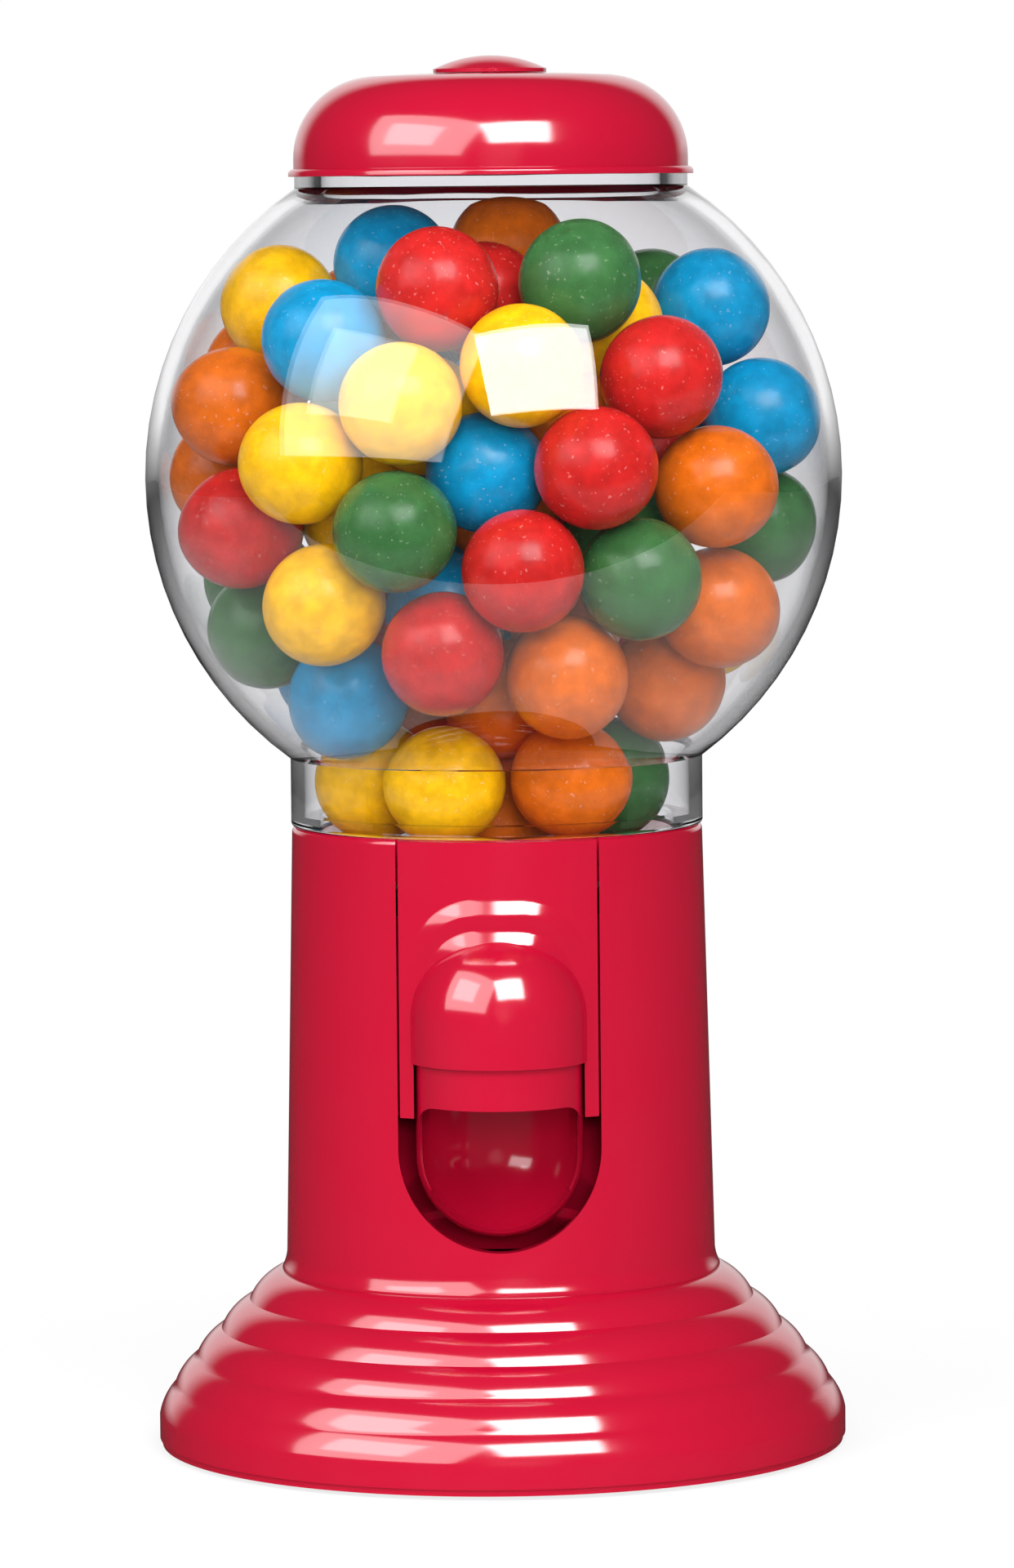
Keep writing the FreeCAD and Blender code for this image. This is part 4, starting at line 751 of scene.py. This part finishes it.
class GumballStage(bpy.types.Operator):
    """Sets the pale floor, the studio light and the camera."""
    bl_idname = "gumball.stage"
    bl_label = "Stage"

    def execute(self, context):
        self.floor(context)
        self.room(context)
        self.softbox(context, "softbox_right", right=17.5, up=36.5, away=0.75, halves=(17.2, 13.8),
                     radiance=9.0)
        self.softbox(context, "softbox_left", right=-50.0, up=31.5, away=0.9, halves=(15.0, 12.5),
                     radiance=2.2)
        self.softbox(context, "softbox_glow", right=-45.0, up=31.5, away=0.95, halves=(30.0, 24.0),
                     radiance=2.2)
        fill = self.softbox(context, "fill_front", right=6.0, up=8.0, away=1.2, halves=(10.0, 9.0),
                            radiance=18.0)
        fill.visible_glossy = False
        fill.visible_transmission = False
        self.camera(context)
        context.scene.view_settings.view_transform = "Standard"
        return {"FINISHED"}

    def floor(self, context):
        """Pale sheet that looks white to the camera and still takes a soft shadow."""
        deep = 1.6
        front = 0.22
        bm = bmesh.new()
        bmesh.ops.create_grid(bm, x_segments=1, y_segments=1, size=deep,
                              matrix=Matrix.Translation((0, deep - front, TABLE)))
        mesh = bpy.data.meshes.new("floor")
        bm.to_mesh(mesh)
        bm.free()
        material, tree = new_material("pale_floor")
        rays = add_node(tree, "ShaderNodeLightPath")
        seen = straight_rays(tree, rays)
        place = add_node(tree, "ShaderNodeTexCoord").outputs["Object"]
        away = add_node(tree, "ShaderNodeVectorMath", {0: place}, operation="LENGTH")
        fade = add_node(tree, "ShaderNodeMapRange", {"Value": away.outputs["Value"], "From Min": 0.05,
                                                     "From Max": 0.15, "To Min": 0.8, "To Max": 1.0})
        share = add_node(tree, "ShaderNodeMath", {0: seen, 1: fade.outputs["Result"]},
                         operation="MULTIPLY")
        paper = add_node(tree, "ShaderNodeBsdfDiffuse", {"Color": (*linear("#F2F2F2"), 1.0)})
        white = add_node(tree, "ShaderNodeEmission", {"Color": (1.0, 1.0, 1.0, 1.0), "Strength": 1.0})
        both = add_node(tree, "ShaderNodeMixShader", {0: share.outputs["Value"], 1: paper.outputs["BSDF"],
                                                      2: white.outputs["Emission"]})
        add_node(tree, "ShaderNodeOutputMaterial", {"Surface": both.outputs["Shader"]})
        mesh.materials.append(material)
        floor = bpy.data.objects.new("floor", mesh)
        context.scene.collection.objects.link(floor)
        floor.visible_glossy = False

    def room(self, context):
        """White surround for the eye, and a dim room with a white screen behind the object."""
        world = bpy.data.worlds.new("studio")
        context.scene.world = world
        world.use_nodes = True
        tree = world.node_tree
        tree.nodes.clear()
        rays = add_node(tree, "ShaderNodeLightPath")
        seen = straight_rays(tree, rays)
        way = add_node(tree, "ShaderNodeSeparateXYZ",
                       {"Vector": add_node(tree, "ShaderNodeTexCoord").outputs["Generated"]})
        behind = add_node(tree, "ShaderNodeMapRange", {"Value": way.outputs["Y"], "From Min": 0.75,
                                                       "From Max": 0.88})
        above = add_node(tree, "ShaderNodeMapRange", {"Value": way.outputs["Z"], "From Min": -0.06,
                                                      "From Max": 0.06})
        screen = add_node(tree, "ShaderNodeMath", {0: behind.outputs["Result"], 1: above.outputs["Result"]},
                          operation="MULTIPLY")
        mirrored = add_node(tree, "ShaderNodeMapRange", {"Value": screen.outputs["Value"], "To Min": 0.04})
        glossy = add_node(tree, "ShaderNodeMath", {0: rays.outputs["Glossy Depth"], 1: 0.5},
                          operation="GREATER_THAN")
        level = add_node(tree, "ShaderNodeMix", {"Factor": glossy.outputs["Value"], "A": 0.4,
                                                 "B": mirrored.outputs["Result"]})
        strength = add_node(tree, "ShaderNodeMath", {0: seen, 1: level.outputs["Result"]},
                            operation="MAXIMUM")
        sky = add_node(tree, "ShaderNodeBackground", {"Color": (1.0, 1.0, 1.0, 1.0),
                                                      "Strength": strength.outputs["Value"]})
        add_node(tree, "ShaderNodeOutputWorld", {"Surface": sky.outputs["Background"]})

    def softbox(self, context, name, right, up, away, halves, radiance):
        """Softbox seen from the globe at two angles in degrees, with half its width and height as angles.
        It stands that many metres away, and its face shines with that radiance."""
        right, up = math.radians(right), math.radians(up)
        way = Vector((math.sin(right) * math.cos(up), -math.cos(right) * math.cos(up), math.sin(up)))
        target = Vector((0, 0, (COLUMN_TOP + LID_SEAT) / 2))
        lamp = bpy.data.lights.new(name, "AREA")
        lamp.shape = "RECTANGLE"
        lamp.size, lamp.size_y = (2 * away * math.tan(math.radians(half)) for half in halves)
        lamp.energy = radiance * math.pi * lamp.size * lamp.size_y
        made = bpy.data.objects.new(name, lamp)
        made.location = target + way * away
        made.rotation_euler = way.to_track_quat("Z", "Y").to_euler()
        context.scene.collection.objects.link(made)
        return made

    def camera(self, context):
        """Camera of the photograph: far off, a little above the middle and tilted a touch."""
        distance = 0.990
        pitch = math.radians(4.6)
        roll = math.radians(0.55)
        aim = 0.0897
        aside = 0.0014
        lens = bpy.data.cameras.new("camera")
        lens.sensor_fit = "VERTICAL"
        lens.sensor_height = 36.0
        lens.lens = 168.75
        made = bpy.data.objects.new("camera", lens)
        made.location = (aside, -distance, aim + distance * math.tan(pitch))
        made.rotation_euler = (Matrix.Rotation(math.pi / 2 - pitch, 3, "X")
                               @ Matrix.Rotation(-roll, 3, "Z")).to_euler()
        context.scene.collection.objects.link(made)
        context.scene.camera = made


class GumballPanel(bpy.types.Panel):
    """Lists the pieces of the gumball machine."""
    bl_idname = "VIEW3D_PT_gumball"
    bl_label = "Gumball Machine"
    bl_space_type = "VIEW_3D"
    bl_region_type = "UI"
    bl_category = "Gumball"

    def draw(self, context):
        for name in ("gumball_base", "gumball_slide", "gumball_globe", "gumball_colours"):
            group = getattr(context.scene, name)
            column = self.layout.column(align=True)
            for key in group.bl_rna.properties.keys():
                if key not in ("rna_type", "name"):
                    column.prop(group, key)
        for operator in OPERATORS:
            self.layout.operator(operator.bl_idname)


OPERATORS = (GumballBase, GumballColumn, GumballPushSlide, GumballChute, GumballGlobe, GumballLid,
             GumballBalls, GumballSpring, GumballWorks, GumballStage)
CLASSES = (GumballBaseSizes, GumballSlideSizes, GumballGlobeSizes, GumballColours, *OPERATORS, GumballPanel)


def register():
    """Registers the classes and gives each scene the sizes and colours."""
    for item in CLASSES:
        bpy.utils.register_class(item)
    bpy.types.Scene.gumball_base = PointerProperty(type=GumballBaseSizes)
    bpy.types.Scene.gumball_slide = PointerProperty(type=GumballSlideSizes)
    bpy.types.Scene.gumball_globe = PointerProperty(type=GumballGlobeSizes)
    bpy.types.Scene.gumball_colours = PointerProperty(type=GumballColours)


def unregister():
    """Takes the sizes, the colours and the classes away again."""
    del bpy.types.Scene.gumball_base
    del bpy.types.Scene.gumball_slide
    del bpy.types.Scene.gumball_globe
    del bpy.types.Scene.gumball_colours
    for item in reversed(CLASSES):
        bpy.utils.unregister_class(item)


def main():
    """Builds every piece and the stage."""
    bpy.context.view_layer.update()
    register()
    bpy.ops.gumball.base()
    bpy.ops.gumball.column()
    bpy.ops.gumball.push_slide()
    bpy.ops.gumball.chute()
    bpy.ops.gumball.globe()
    bpy.ops.gumball.lid()
    bpy.ops.gumball.balls()
    bpy.ops.gumball.spring()
    bpy.ops.gumball.works()
    bpy.ops.gumball.stage()


if __name__ == "__main__":
    main()
